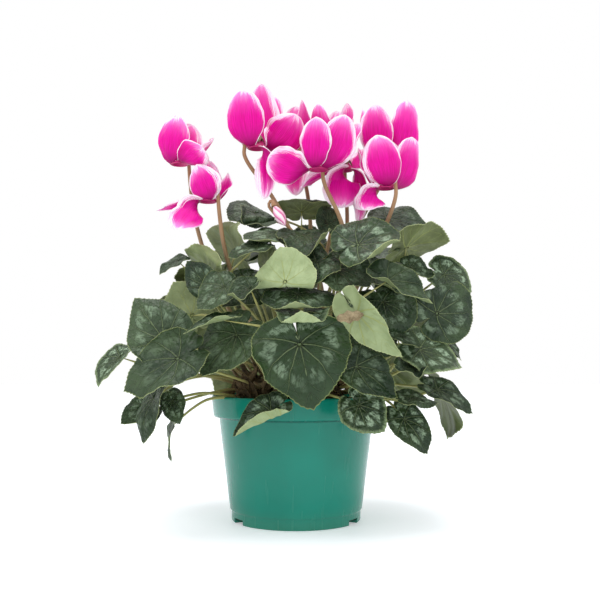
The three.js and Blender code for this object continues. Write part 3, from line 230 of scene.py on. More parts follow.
# Each light's name, its place, the spot that it shines on, its size in metres and its watts
LIGHTS = [
    ("sky_panel", (-0.1, -0.05, 1.3), (0.0, 0.0, 0.2), 1.2, 11.0),
    ("left_panel", (-1.4, -0.9, 0.8), (0.0, 0.0, 0.2), 0.8, 3.0),
    ("right_panel", (1.4, -0.8, 0.7), (0.0, 0.0, 0.2), 0.8, 2.0),
]


def lay_floor():
    finish = Finish("pale_floor")
    finish.principled(
        Base_Color=colour(237, 241, 246), Roughness=0.6, Emission_Color=FLOOR_TINT,
        Emission_Strength=FLOOR_GLOW,
    )
    turns = np.linspace(0.0, 2.0 * math.pi, FLOOR_SIDES, endpoint=False)
    corners = [(FLOOR_RADIUS * math.cos(turn), FLOOR_RADIUS * math.sin(turn), 0.0) for turn in turns]
    mesh = bpy.data.meshes.new("floor")
    mesh.from_pydata(corners, [], [list(range(FLOOR_SIDES))])
    mesh.materials.append(finish.material)
    put("floor", mesh)


def hang_lights():
    for name, place, target, size, watts in LIGHTS:
        light = bpy.data.lights.new(name, "AREA")
        light.shape = "DISK"
        light.size = size
        light.energy = watts
        lamp = put(name, light)
        lamp.location = place
        away = Vector(place) - Vector(target)
        lamp.rotation_euler = away.to_track_quat("Z", "Y").to_euler()


def fill_with_white():
    studio = bpy.data.worlds.new("white_studio")
    studio.use_nodes = True
    studio.node_tree.nodes["Background"].inputs["Color"].default_value = WHITE
    studio.node_tree.nodes["Background"].inputs["Strength"].default_value = 1.0
    bpy.context.scene.world = studio
    bpy.context.scene.view_settings.view_transform = "Standard"


lay_floor()
hang_lights()
fill_with_white()
print("lights:", len(LIGHTS))

# %% [markdown]
# ## Helpers for meshes
# A finished piece is one object at the origin, with its place in its mesh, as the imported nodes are. A small
# `Sheet` collects points, faces and what each point carries for the materials, and writes one mesh.

# %% Collect a mesh
class Sheet:
    """Collects the points and faces of one piece, with the values that its materials read."""

    def __init__(self):
        self.points = []
        self.faces = []
        self.finishes = []
        self.values = {}
        self.count = 0

    def add(self, points, faces, finish, **values):
        """Adds points and faces, with one finish for all faces or one for each, and the points' values."""
        points = np.asarray(points, float)
        self.faces += [tuple(int(k) + self.count for k in face) for face in faces]
        self.finishes += [finish] * len(faces) if isinstance(finish, int) else list(finish)
        self.points.append(points)
        for name, value in values.items():
            filled = np.broadcast_to(np.asarray(value, float), (len(points),))
            self.values.setdefault(name, []).append((self.count, filled))
        self.count += len(points)

    def mesh(self, name, materials):
        """The whole sheet as one smooth mesh. A value that a point was not given is 0."""
        mesh = bpy.data.meshes.new(name)
        mesh.from_pydata(np.concatenate(self.points).tolist(), [], self.faces)
        for material in materials:
            mesh.materials.append(material)
        mesh.polygons.foreach_set("material_index", self.finishes)
        mesh.polygons.foreach_set("use_smooth", [True] * len(self.faces))
        for key, blocks in self.values.items():
            layer = np.zeros(self.count, np.float32)
            for start, block in blocks:
                layer[start:start + len(block)] = block
            mesh.attributes.new(key, "FLOAT", "POINT").data.foreach_set("value", layer)
        return mesh


def show(mesh, node):
    """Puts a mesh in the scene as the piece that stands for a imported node."""
    piece = put(node + "_fine", mesh)
    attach(piece, "root")
    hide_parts(node)


print("a sheet starts with", Sheet().count, "points")

# %% Helpers for points and faces
def mix(one, two, share):
    return one + (two - one) * share


def unit(vectors):
    vectors = np.asarray(vectors, float)
    return vectors / np.maximum(np.linalg.norm(vectors, axis=-1, keepdims=True), 1e-12)


def belts(rings, sides, offset=0, closed=True):
    """Quads between rings of points that follow one another."""
    faces = []
    for i in range(rings - 1):
        for j in range(sides if closed else sides - 1):
            a = offset + i * sides + j
            b = offset + i * sides + (j + 1) % sides
            faces.append((a, b, b + sides, a + sides))
    return faces


def two_sided(rows, columns):
    """The faces of a thin sheet whose under side's points follow its upper side's, hem included."""
    upper = belts(rows, columns, closed=False)
    shift = rows * columns
    lower = [tuple(shift + k for k in reversed(quad)) for quad in upper]
    rim = list(range(columns)) + [i * columns + columns - 1 for i in range(1, rows)]
    rim += [(rows - 1) * columns + j for j in range(columns - 2, -1, -1)]
    rim += [i * columns for i in range(rows - 2, 0, -1)]
    hem = [(a, shift + a, shift + b, b) for a, b in zip(rim, rim[1:] + rim[:1])]
    return upper + lower + hem


def circle_turns(count):
    return np.arange(count) * 2 * math.pi / count


def places_of(mesh):
    places = np.empty(len(mesh.vertices) * 3)
    mesh.vertices.foreach_get("co", places)
    return places.reshape(-1, 3)


def applied(piece):
    """The piece's mesh with its modifiers worked in, as a plain mesh."""
    graph = bpy.context.evaluated_depsgraph_get()
    return bpy.data.meshes.new_from_object(piece.evaluated_get(graph))


print("faces of a sheet of 3 by 3 points:", len(two_sided(3, 3)))

# %% [markdown]
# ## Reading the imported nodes
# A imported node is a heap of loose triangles. Corners at the same place are merged, and then the triangles
# tell which points are neighbours. That is enough to find a leaf again: its joint is the one point with
# eight or ten neighbours that form a ring, the edge follows outside that ring, and the stalk's rings of
# four points hang below the joint.

# %% Merge a node's corners
def merged(node):
    """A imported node's points, each kept once, and its triangles."""
    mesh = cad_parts[node].data
    corners = np.empty(len(mesh.loops), np.int32)
    mesh.loops.foreach_get("vertex_index", corners)
    points, where = np.unique(places_of(mesh), axis=0, return_inverse=True)
    return points, where.reshape(-1)[corners].reshape(-1, 3)


def neighbours(count, triangles):
    """The points next to each point, and for each edge the point that closes its triangle."""
    near = [set() for _ in range(count)]
    follow = {}
    for a, b, c in triangles.tolist():
        near[a].update((b, c))
        near[b].update((a, c))
        near[c].update((a, b))
        follow[a, b] = c
        follow[b, c] = a
        follow[c, a] = b
    return near, follow


def walk_rings(points, near, first, seen):
    """The middles of the rings of points that follow a first ring, as far as they stay whole."""
    middles = []
    now = set(first)
    size = len(now)
    seen = set(seen) | now
    while len(now) == size:
        middles.append(points[list(now)].mean(0))
        now = set().union(*(near[k] for k in now)) - seen
        seen |= now
    return middles


pot_points, pot_triangles = merged("pot")
print("pot:", len(pot_points), "points,", len(pot_triangles), "triangles")

# %% Find the leaves of a node
BLADE_THICKNESS = 0.0009
PETIOLE_RADIUS = 0.00145
TUBER_MIDDLE = np.array([0.0, 0.0, 0.084])
# The stalks' feet stand on the tuber, about this far from its middle
CROWN_RADIUS = 0.0315
# How far off a point may be in metres: one of a foot, one of a stalk's first ring under the blade, and the
# end of a stalk that reaches its foot
CROWN_SLACK = 0.0012
SPOKE_SLACK = 6e-5
FOOT_SLACK = 0.004


def blade_rim(centre, near, follow):
    """The ring and the edge round a joint, in order from the tip, or None."""
    around = near[centre]
    if len(around) not in (8, 10) or any(len(near[k]) != 6 for k in around):
        return None
    walk = [min(around)]
    while len(walk) < len(around):
        walk.append(follow[centre, walk[-1]])
    ring = walk[::-1]
    edge = []
    for i, here in enumerate(ring):
        after, before = ring[(i + 1) % len(ring)], ring[i - 1]
        between = (near[here] & near[after]) - {centre}
        own = near[here] - {centre, after, before} - between - (near[here] & near[before])
        if len(between) != 1 or len(own) != 1:
            return None
        edge += [own.pop(), between.pop()]
    return ring, edge


def find_leaves(node):
    """The leaves of a node: each one's sheet of points, its upper side, its stalk and its ring's size."""
    points, triangles = merged(node)
    near, follow = neighbours(len(points), triangles)
    crown = np.abs(np.linalg.norm(points - TUBER_MIDDLE, axis=1) - CROWN_RADIUS) < CROWN_SLACK
    foot = points[crown].mean(0)
    leaves = []
    for centre in range(len(points)):
        rim = blade_rim(centre, near, follow)
        if rim is None:
            continue
        ring, edge = rim
        half = len(ring) // 2
        notch = int(np.argmin([np.linalg.norm(points[k] - points[centre]) for k in edge[::2]]))
        turn = (notch + half) % len(ring)
        ring, edge = ring[turn:] + ring[:turn], edge[2 * turn:] + edge[:2 * turn]
        rays = points[ring] - points[centre]
        up = unit(np.cross(np.roll(rays, -1, axis=0), rays).sum(0))
        top = ring + edge
        rest = np.array([k for k in range(len(points)) if k not in top and k != centre])
        apart = np.linalg.norm(points[rest][None] - points[top][:, None], axis=2)
        under = rest[apart.argmin(1)]
        if apart.min(1).max() > BLADE_THICKNESS * 1.1:
            continue
        middle = points[centre] - up * BLADE_THICKNESS / 2
        seat = points[centre] - up * BLADE_THICKNESS
        spokes = rest[np.abs(np.linalg.norm(points[rest] - seat, axis=1) - PETIOLE_RADIUS) < SPOKE_SLACK]
        spokes = [k for k in spokes if k not in under]
        stalk = walk_rings(points, near, spokes, [centre, *top, *under])
        if np.linalg.norm(stalk[-1] - foot) > FOOT_SLACK:
            stalk.append(foot)
        leaves.append({
            "up": up, "stalk": np.array([middle, *stalk[1:]]), "ring": len(ring),
            "sheet": np.array([middle, *((points[top] + points[under]) / 2)]),
        })
    leaves.sort(key=lambda leaf: -leaf["sheet"][0][2])
    return leaves


leaf_nodes = [name for name in sorted(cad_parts) if name.startswith("lea")]
plant_leaves = {name: find_leaves(name) for name in leaf_nodes}
print("leaves found:", sum(map(len, plant_leaves.values())), "in", len(leaf_nodes), "nodes")

# %% [markdown]
# ## Leaf blades
# A cyclamen blade is heart-shaped, with a narrow notch where the stalk comes in and small teeth all round.
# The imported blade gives 25 or 31 points of a bent sheet. A thin-plate spline through them bends a flat
# drawing of the blade smoothly into that place, so the drawing can have as many points as its teeth need.

# %% The flat drawing of a blade
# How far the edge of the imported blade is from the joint, each 15 degrees from the tip to the notch
PACKED_REACH = [1, 0.92, 0.87, 0.79, 0.755, 0.69, 0.67, 0.62, 0.61, 0.56, 0.53, 0.44, 0.2]
PACKED_TURNS = np.arange(13) * 15.0
SIDE_REACH = 0.67
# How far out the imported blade's inner ring of points lies, as a share of its edge
RING_REACH = 0.56
# The finer drawing: degrees from the tip, and how far the edge is there
FINE_TURNS = [0, 6, 15, 30, 45, 60, 75, 90, 105, 120, 135, 150, 160, 168, 173, 177, 180]
FINE_REACH = [1.0, 0.965, 0.925, 0.865, 0.805, 0.75, 0.705, 0.67, 0.64, 0.61, 0.58, 0.55, 0.525, 0.49, 0.44,
              0.3, 0.09]
# How far the teeth stand out and in, as a share of the edge's reach
TOOTH = 0.009
# Where each main vein starts, in turns from the tip, and how it bends towards the tip on its way out
MAIN_VEINS = [(0.0, 0.0), (0.6, 0.2), (1.3, 0.36), (2.15, 0.4)]
# How much of the edge a pointed leaf loses on each side of its tip
POINT_TURNS = [0, 8, 20, 34, 50, 68, 90]
POINT_LOSS = [0, 0.05, 0.13, 0.17, 0.14, 0.07, 0]
# Points round the edge of a large and of a small blade, and the rings of points from the joint to the edge
LARGE_EDGE = 152
SMALL_EDGE = 96
BLADE_RINGS = np.array([0.06, 0.16, 0.27, 0.38, 0.49, 0.59, 0.68, 0.76, 0.83, 0.89, 0.94, 0.972, 0.99, 1.0])
FOLDED_RINGS = np.append(np.linspace(0.06, 0.95, 16), [0.975, 0.99, 1.0])


def packed_reach(turns):
    off = np.minimum(turns, 360.0 - turns)
    return np.interp(off, PACKED_TURNS, PACKED_REACH)


def fine_reach(turns, point=0.0):
    off = np.minimum(turns, 360.0 - turns)
    return np.interp(off, FINE_TURNS, FINE_REACH) * (1 - point * np.interp(off, POINT_TURNS, POINT_LOSS))


def vein_distance(flat):
    """How far each spot of the drawing is from its nearest main vein."""
    reach = np.linalg.norm(flat, axis=1)
    turn = np.arctan2(np.abs(flat[:, 1]), flat[:, 0])
    return np.min([np.abs((turn + reach * bend - start) * reach) for start, bend in MAIN_VEINS], axis=0)


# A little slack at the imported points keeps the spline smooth
SPLINE_SLACK = 2e-4


def swell(spots, knots):
    """How much each knot of a thin-plate spline lifts each spot, before its weight."""
    gap = np.maximum(((spots[:, None] - knots[None]) ** 2).sum(2), 1e-12)
    return gap * np.log(gap) / 2


def plate_spline(flat, solid):
    """A smooth map from the flat drawing to the bent sheet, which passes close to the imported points."""
    count = len(flat)
    plane = np.hstack([np.ones((count, 1)), flat])
    system = np.zeros((count + 3, count + 3))
    system[:count, :count] = swell(flat, flat) + np.eye(count) * SPLINE_SLACK
    system[:count, count:] = plane
    system[count:, :count] = plane.T
    weights = np.linalg.solve(system, np.vstack([solid, np.zeros((3, 3))]))

    def bend(spots):
        level = np.hstack([np.ones((len(spots), 1)), spots]) @ weights[count:]
        return swell(spots, flat) @ weights[:count] + level

    return bend


print("edge at the side:", fine_reach(np.array([90.0]))[0])

# %% [markdown]
# The fine blade is a polar grid of that drawing: rings round the joint, out to an edge whose points lie in
# turn a little further out and further in, as teeth. Each blade gets its own ripple near the edge from a
# seeded draw. Where a leaf is folded over, the drawing is folded first and then bent. Other blades have
# parts of their edge rolled up or down. Both show the pale under face. The drawing's own x and y stay on the
# mesh as attributes, because the veins and the silver pattern follow the blade.

# %% Folds and rolls
LEAF_TOP, LEAF_UNDER, STALK, SCRAP = 0, 1, 2, 3


def sheet_normals(rings):
    """The way that the upper side faces at each point of a blade's rings."""
    around = np.roll(rings, -1, axis=1) - np.roll(rings, 1, axis=1)
    return unit(np.cross(around, np.gradient(rings, axis=0)))


def fold_drawing(flat, fold):
    """Folds the drawing past a line: where each spot comes to lie, and how high over the sheet."""
    heading, start, angle, bend_radius = fold
    ahead = np.array([math.cos(math.radians(heading)), math.sin(math.radians(heading))])
    past = flat @ ahead - start
    bend = math.radians(abs(angle))
    arc = np.clip(past / bend_radius, 0, bend)
    beyond = np.maximum(past - bend_radius * bend, 0)
    along = bend_radius * np.sin(arc) + beyond * math.cos(bend)
    lift = bend_radius * (1 - np.cos(arc)) + beyond * math.sin(bend)
    return flat + ahead * np.where(past > 0, along - past, 0)[:, None], lift * math.copysign(1, angle)


def roll_edge(rings, turns, ring_shares, roll):
    """Rolls part of a blade's edge towards its upper face, or away from it where the angle is negative."""
    middle, spread, start, angle = roll
    off = np.abs((turns - middle + 180.0) % 360.0 - 180.0)
    amount = np.cos(np.clip(off / spread, 0, 1) * math.pi / 2) ** 2
    steps = np.diff(rings, axis=0)
    share = (ring_shares[1:] + ring_shares[:-1]) / 2
    tilt = math.radians(angle) * np.clip((share - start) / (1 - start), 0, 1)[:, None] ** 0.8 * amount[None]
    size = np.linalg.norm(steps, axis=2, keepdims=True)
    ahead = steps / size
    face = sheet_normals(rings)
    face = (face[1:] + face[:-1]) / 2
    face = unit(face - ahead * (face * ahead).sum(2, keepdims=True))
    turned = (ahead * np.cos(tilt)[..., None] + face * np.sin(tilt)[..., None]) * size
    return np.concatenate([rings[:1], rings[:1] + np.cumsum(turned, axis=0)])


def drawn_rolls(draw):
    """One to three soft rolls of the edge, more often up than down."""
    return [
        (draw.uniform(0, 360), draw.uniform(30, 65), draw.uniform(0.62, 0.82),
         draw.choice([1, 1, -1]) * draw.uniform(25, 95))
        for _ in range(draw.integers(1, 4))
    ]


print("rolls drawn for a first leaf:", len(drawn_rolls(np.random.default_rng(0))))

# %% Bend the drawing into a leaf
# Blades longer than this get more points, and heights on a blade are given for its usual length, in metres
LARGE_LENGTH = 0.036
USUAL_LENGTH = 0.045
# Waves round the edge: how many, and how high as shares of RIPPLE_HEIGHT or of the edge's reach
RIPPLES = [(3, 1.6), (5, 1.6), (8, 1.3), (13, 0.8), (19, 0.5)]
RIPPLE_HEIGHT = 0.0006
UNEVEN_EDGE = [(3, 0.012), (5, 0.012), (9, 0.012), (14, 0.012)]
WAVE_START = 6.28
# How deep the blade dips at its joint, and how high it swells this far from its veins
JOINT_DIP = 0.0006
SWELL_HEIGHT = 0.0011
SWELL_WIDTH = 0.13
# The step on the drawing that tells which way a folded blade faces
FOLD_PROBE = 0.01
# Half of the blade's thickness at the joint, near the edge and at the edge, in metres
HALF_THICKNESS = [0.00034, 0.00024, 0.00012]


def leaf_size(leaf):
    """A packed blade's length from joint to tip, and its width as a share of the drawing's."""
    ring, packed = leaf["ring"], leaf["sheet"]
    length = np.linalg.norm(packed[1] - packed[0]) + np.linalg.norm(packed[1 + ring] - packed[1])
    quarter = ring // 2
    across = np.linalg.norm(packed[1 + ring + quarter] - packed[0])
    across += np.linalg.norm(packed[1 + ring + 3 * quarter] - packed[0])
    return length, across / (2 * SIDE_REACH * length)


def on_drawing(turns, reach, wide):
    """Spots of the flat drawing, from degrees from the tip and the reach from the joint."""
    angle = np.radians(turns)
    return np.stack([np.cos(angle) * reach, np.sin(angle) * reach], 1) * (1.0, wide)


def packed_bend(leaf, wide):
    """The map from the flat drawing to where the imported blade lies."""
    ring = leaf["ring"]
    inner_turns = np.arange(ring) * 360.0 / ring
    edge_turns = np.arange(2 * ring) * 180.0 / ring
    flat = np.vstack([
        [[0.0, 0.0]],
        on_drawing(inner_turns, packed_reach(inner_turns) * RING_REACH, wide),
        on_drawing(edge_turns, packed_reach(edge_turns), wide),
    ])
    return plate_spline(flat, leaf["sheet"])


def drawn_waves(draw, turns, waves, least):
    """Waves round the edge, each with a drawn height, from its least share up, and a drawn start."""
    return sum(
        draw.uniform(least, 1.0) * height * np.sin(np.radians(turns) * count + draw.uniform(0, WAVE_START))
        for count, height in waves
    )


def folded_place(spots, bend, folds, length):
    """Where the drawing's spots lie once it is folded and bent."""
    moved, rise = spots, np.zeros(len(spots))
    for fold in folds:
        moved, lift = fold_drawing(moved, fold)
        rise = rise + lift
    place = bend(moved)
    if folds:
        over, up_along = bend(moved + (FOLD_PROBE, 0)) - place, bend(moved + (0, FOLD_PROBE)) - place
        place = place + unit(np.cross(up_along, over)) * (rise * length)[:, None]
    return place


def relief(grid, shares, ripples, length):
    """How high the blade's points rise over the smooth sheet: ripples, the dip at the joint and swells."""
    out = shares[:, None]
    height = ripples[None] * out ** 2.5 * RIPPLE_HEIGHT * (length / USUAL_LENGTH)
    height += np.interp(out, [0, 0.3, 1], [-JOINT_DIP, 0.0002, 0.0])
    off_veins = np.clip(vein_distance(grid).reshape(len(shares), -1) / SWELL_WIDTH, 0, 1) ** 0.7
    swelling = np.interp(out, [0.05, 0.4, 0.8, 1], [0, SWELL_HEIGHT, SWELL_HEIGHT, 0.0003])
    return height + off_veins * swelling * (length / USUAL_LENGTH)


def blade_faces(rings, count):
    """The faces of a blade's upper side, and those of its under side and rim."""
    fan = [(0, 1 + (j + 1) % count, 1 + j) for j in range(count)]
    upper = fan + [(a, b, c, d) for (a, d, c, b) in belts(rings, count, 1)]
    shift = 1 + rings * count
    last = 1 + (rings - 1) * count
    lower = [tuple(shift + k for k in reversed(face)) for face in upper]
    for j in range(count):
        here, after = last + j, last + (j + 1) % count
        lower.append((here, after, shift + after, shift + here))
    return upper, lower


def bend_leaf(leaf, sheet, draw, looks, folds=()):
    """Adds a fine blade to the sheet, toothed, folded and rippled, where its packed blade lies."""
    length, wide = leaf_size(leaf)
    bend = packed_bend(leaf, wide)
    count = LARGE_EDGE if length > LARGE_LENGTH else SMALL_EDGE
    turns = np.arange(count) * 360.0 / count
    off = np.minimum(turns, 360.0 - turns)
    teeth = np.where(np.arange(count) % 2 == 0, TOOTH, -TOOTH) * np.interp(off, [0, 150, 172], [1, 1, 0])
    ripples = drawn_waves(draw, turns, RIPPLES, 0.4) * np.interp(off, [0, 140, 165], [1, 1, 0.2])
    silver, pale = looks[:2]
    reach = fine_reach(turns, looks[2] if len(looks) > 2 else draw.uniform(0, 0.7))
    reach = reach * (1 + drawn_waves(draw, turns, UNEVEN_EDGE, 0.3))
    shares = FOLDED_RINGS if folds else BLADE_RINGS
    grid = np.vstack([
        on_drawing(turns, reach * (1 + teeth * share ** 10) * share, wide) for share in shares
    ])
    spots = np.vstack([[[0.0, 0.0]], grid])
    place = folded_place(spots, bend, folds, length)
    rings = place[1:].reshape(len(shares), count, 3)
    rings = rings + sheet_normals(rings) * relief(grid, shares, ripples, length)[..., None]
    for roll in drawn_rolls(draw) if not folds else []:
        rings = roll_edge(rings, turns, shares, roll)

    out = sheet_normals(rings) * np.interp(shares[:, None], [0, 0.9, 1], HALF_THICKNESS)[..., None]
    up = leaf["up"]
    top = np.vstack([place[:1] + up * HALF_THICKNESS[0] - up * JOINT_DIP, (rings + out).reshape(-1, 3)])
    under = np.vstack([place[:1] - up * HALF_THICKNESS[0] - up * JOINT_DIP, (rings - out).reshape(-1, 3)])
    upper, lower = blade_faces(len(shares), count)
    both = np.vstack([spots, spots])
    blade_out = np.concatenate([[0.0], np.repeat(shares, count)])
    sheet.add(
        np.vstack([top, under]), upper + lower, [LEAF_TOP] * len(upper) + [LEAF_UNDER] * len(lower),
        blade_x=both[:, 0], blade_y=both[:, 1], blade_out=np.tile(blade_out, 2), silver=silver, pale=pale,
        draw=draw.uniform(0, 1),
    )


upper_faces, lower_faces = blade_faces(len(BLADE_RINGS), LARGE_EDGE)
print("faces of a large blade:", len(upper_faces) + len(lower_faces))

# %% [markdown]
# ## Stalks and stems
# A stalk is a round rod that follows a path, which is just what Geometry Nodes do well: a curve goes in, and
# the tree smooths it, sweeps a circle along it with the curve's own radius, and ends it with caps. It also
# stores how far along the stalk each point is, so that the colour can change from foot to top.

# %% Geometry Nodes trees from a script
class Tree:
    """A tree of Geometry Nodes with named inputs, made node by node."""

    def __init__(self, name, **inputs):
        self.group = bpy.data.node_groups.new(name, "GeometryNodeTree")
        face = self.group.interface
        face.new_socket("Geometry", in_out="INPUT", socket_type="NodeSocketGeometry")
        for label, kind in inputs.items():
            face.new_socket(label, in_out="INPUT", socket_type="NodeSocket" + kind)
        face.new_socket("Geometry", in_out="OUTPUT", socket_type="NodeSocketGeometry")
        self.inputs = self.add("NodeGroupInput").outputs

    def add(self, kind, settings=None, **links):
        node = self.group.nodes.new(kind)
        for key, value in (settings or {}).items():
            setattr(node, key, value)
        for key, value in links.items():
            socket = node.inputs[key.replace("_", " ")]
            if isinstance(value, bpy.types.NodeSocket):
                self.group.links.new(value, socket)
            else:
                socket.default_value = value
        return node

    def end(self, geometry):
        """Gives the geometry its material and makes its instances real, as the last step."""
        painted = self.add("GeometryNodeSetMaterial", Geometry=geometry, Material=self.inputs["Finish"])
        whole = self.add("GeometryNodeRealizeInstances", Geometry=painted.outputs[0])
        self.group.links.new(whole.outputs[0], self.add("NodeGroupOutput").inputs["Geometry"])
        return self.group


def grow(piece, group, **inputs):
    """The plain mesh that a tree makes of a piece, which is then removed from the scene."""
    modifier = piece.modifiers.new(group.name, "NODES")
    modifier.node_group = group
    sockets = {item.name: item.identifier for item in group.interface.items_tree if item.in_out == "INPUT"}
    for label, value in inputs.items():
        modifier[sockets[label]] = value
    mesh = applied(piece)
    bpy.data.objects.remove(piece)
    return mesh


def stalk_tree():
    tree = Tree("stalk_sweep", Step="Float", Sides="Int", Finish="Material")
    start = tree.inputs
    path = tree.add(
        "GeometryNodeResampleCurve", {"mode": "LENGTH"}, Curve=start["Geometry"], Length=start["Step"],
    )
    share = tree.add("GeometryNodeSplineParameter").outputs["Factor"]
    stored = tree.add(
        "GeometryNodeStoreNamedAttribute", {"data_type": "FLOAT", "domain": "POINT"},
        Geometry=path.outputs[0], Name="along", Value=share,
    )
    circle = tree.add(
        "GeometryNodeCurvePrimitiveCircle", {"mode": "RADIUS"}, Resolution=start["Sides"], Radius=1.0,
    )
    swept = tree.add(
        "GeometryNodeCurveToMesh", Curve=stored.outputs[0], Profile_Curve=circle.outputs[0], Fill_Caps=True,
    )
    # Where the node has an input for the circle's size, it doesn't take the curve's radius by itself
    if "Scale" in swept.inputs:
        girth = tree.add("GeometryNodeInputRadius").outputs[0]
        tree.group.links.new(girth, swept.inputs["Scale"])
    smooth = tree.add("GeometryNodeSetShadeSmooth", Geometry=swept.outputs[0])
    return tree.end(smooth.outputs[0])


STALK_TREE = stalk_tree()
print("stalk tree:", len(STALK_TREE.nodes), "nodes")

# %% Sweep paths into a mesh
CORNER_CUTS = 3


def smooth_path(points):
    """A soft curve close to a path's corners: each corner is cut three times, and the ends stay."""
    path = np.asarray(points, float)
    for _ in range(CORNER_CUTS):
        before, after = path[:-1], path[1:]
        cut = np.stack([mix(before, after, 0.25), mix(before, after, 0.75)], 1).reshape(-1, 3)
        path = np.vstack([path[:1], cut[1:-1], path[-1:]])
    return path


def sweep(name, paths, material, sides, step):
    """Sweeps paths, each a list of points with a radius at each, and gives a plain mesh."""
    curve = bpy.data.curves.new(name, "CURVE")
    curve.dimensions = "3D"
    for points, radii in paths:
        spline = curve.splines.new("POLY")
        spline.points.add(len(points) - 1)
        spline.points.foreach_set("co", np.hstack([points, np.ones((len(points), 1))]).ravel())
        spline.points.foreach_set("radius", np.asarray(radii, float))
    mesh = grow(put(name, curve), STALK_TREE, Step=step, Sides=sides, Finish=material)
    bpy.data.curves.remove(curve)
    return mesh


def add_rods(sheet, name, paths, material, finish, sides, step):
    """Sweeps paths and adds the rods to a sheet, with how far along its path each point is."""
    rods = sweep(name, paths, material, sides, step)
    along = np.empty(len(rods.vertices), np.float32)
    rods.attributes["along"].data.foreach_get("value", along)
    sheet.add(places_of(rods), [tuple(face.vertices) for face in rods.polygons], finish, along=along)
    bpy.data.meshes.remove(rods)


print("points of a path of three corners, made smooth:", len(smooth_path(np.eye(3))))

# %% [markdown]
# ## Leaf finishes
# The upper face is a dark blue-green with pale veins that fan out from the joint, a broken silver band
# between them and a fine light edge. The under face is a pale yellow-green with raised veins, which darkens
# to an olive of painted shade where it lies in shadow. Both read the flat drawing's own x and y, so a vein
# runs from the joint to the edge however the blade is bent.

# %% Veins from the blade's own coordinates
# How far out the side veins fork off, and how steeply they leave the main vein
FORKS = [0.2, 0.36, 0.54, 0.72]
FORK_SLOPE = 0.7


def vein_map(finish):
    """The spot, its distance and turn from the joint, and how much it lies on main and side veins."""
    x = finish.attribute("blade_x")
    y = finish.attribute("blade_y")
    reach = (x * x + y * y) ** 0.5
    turn = finish.node("ShaderNodeMath", {"operation": "ARCTAN2"}, y.size(), x)
    spot = finish.joined(x, y, finish.attribute("draw") * 9.0)
    wander = (finish.noise(spot, 4.0, 2.0) - 0.5) * 0.16
    nearest = None
    for start, bend in MAIN_VEINS:
        off = ((turn + reach * bend - start + wander) * reach).size()
        nearest = off if nearest is None else nearest.least(off)
    width = 0.013 - reach * 0.009
    main = (1.0 - (nearest / width).rise(0.3, 1.7)) * (1.0 - reach.rise(0.25, 0.9) * 0.75)
    side = None
    for start in FORKS:
        gap = (nearest - (reach - start) * FORK_SLOPE + wander * 0.5).size()
        line = (1.0 - (gap / 0.006).rise(0.4, 1.6)) * reach.rise(start, start + 0.02)
        side = line if side is None else side.most(line)
    return spot, reach, nearest, main, side, turn


def leaf_top_finish():
    finish = Finish("leaf_top")
    spot, reach, nearest, main, side, turn = vein_map(finish)
    out = finish.attribute("blade_out")
    silver, draw = finish.attribute("silver"), finish.attribute("draw")
    blotch = finish.noise(spot, 9.0, 3.0, 0.65)
    patch = finish.noise(spot, 4.0, 2.0)
    cloud = finish.noise(spot, 2.2, 2.0)
    streak = finish.noise(finish.joined(turn * 6.0, reach * 3.4, draw * 17.0), 3.0, 2.0, 0.6)
    ragged = out + (streak - 0.5) * 0.2 + (blotch - 0.5) * 0.22 + (patch - 0.5) * 0.42
    band = ragged.rise(0.48, 0.54) * (1.0 - ragged.rise(0.71, 0.77))
    between = (nearest * 12.0).rise(0.15, 1.0)
    flecks = (streak * 0.5 + blotch * 0.5).rise(0.4, 0.54)
    whole = (cloud + silver * 0.1).rise(0.38, 0.52)
    silvered = (band * between * (0.15 + flecks * 0.85) * (0.25 + whole * 0.75) * silver).held()
    dark = finish.blend(cloud.rise(0.35, 0.65), colour(26, 45, 26), colour(52, 70, 42))
    dark = finish.blend((0.5 - draw).most(0.0) * 1.3, dark, colour(36, 58, 24))
    dark = finish.blend((draw - 0.5).most(0.0) * 1.1, dark, colour(76, 94, 65))
    heart = (1.0 - out.rise(0.05, 0.42)) * 0.35
    dark = finish.blend(heart, dark, colour(22, 34, 20))
    green = finish.blend(silvered * 0.95, dark, colour(140, 162, 134))
    veined = finish.blend((side * 0.3).held(), green, colour(88, 106, 76))
    veined = finish.blend((main * (0.4 + silver * 0.25)).held(), veined, colour(124, 142, 98))
    variegated = (silver - 0.8).most(0.0) * 3.0 * (out + (streak - 0.5) * 0.15).rise(0.86, 0.98)
    veined = finish.blend(variegated, veined, colour(136, 156, 112))
    edged = finish.blend(out.rise(0.975, 0.995) * 0.65, veined, colour(136, 148, 88))
    quilt = finish.node("ShaderNodeTexVoronoi", {"feature": "SMOOTH_F1"}, Vector=spot, Scale=14.0)
    height = 0.6 - main * 0.9 - side * 0.5 - quilt * 0.7 + blotch * 0.3
    finish.principled(
        Base_Color=edged, Roughness=(0.34 + blotch * 0.22).held(), Specular_IOR_Level=0.32,
        Normal=finish.bump(height, 0.9, 0.0026),
    )
    return finish.material


def leaf_under_finish():
    finish = Finish("leaf_under")
    spot, reach, nearest, main, side, turn = vein_map(finish)
    out = finish.attribute("blade_out")
    cloud = finish.noise(spot, 3.0, 3.0)
    # The olive end is painted shade for under faces that lie in shadow; each blade's "pale" value sets how
    # far its under face is the pale green instead
    painted_shade_olive = finish.blend(cloud.rise(0.3, 0.7), colour(76, 84, 46), colour(102, 112, 66))
    pale = finish.blend(cloud.rise(0.3, 0.7), colour(134, 149, 106), colour(154, 169, 126))
    under = finish.blend(finish.attribute("pale"), painted_shade_olive, pale)
    veined = finish.blend((main * 0.6 + side * 0.25).held(), under, colour(138, 146, 78))
    edged = finish.blend(out.rise(0.97, 0.995) * 0.6, veined, colour(186, 196, 140))
    height = main * 0.8 + side * 0.4 + finish.noise(spot, 40.0, 2.0) * 0.15
    finish.principled(
        Base_Color=edged, Roughness=0.55, Specular_IOR_Level=0.3, Normal=finish.bump(height, 0.5, 0.001),
    )
    return finish.material


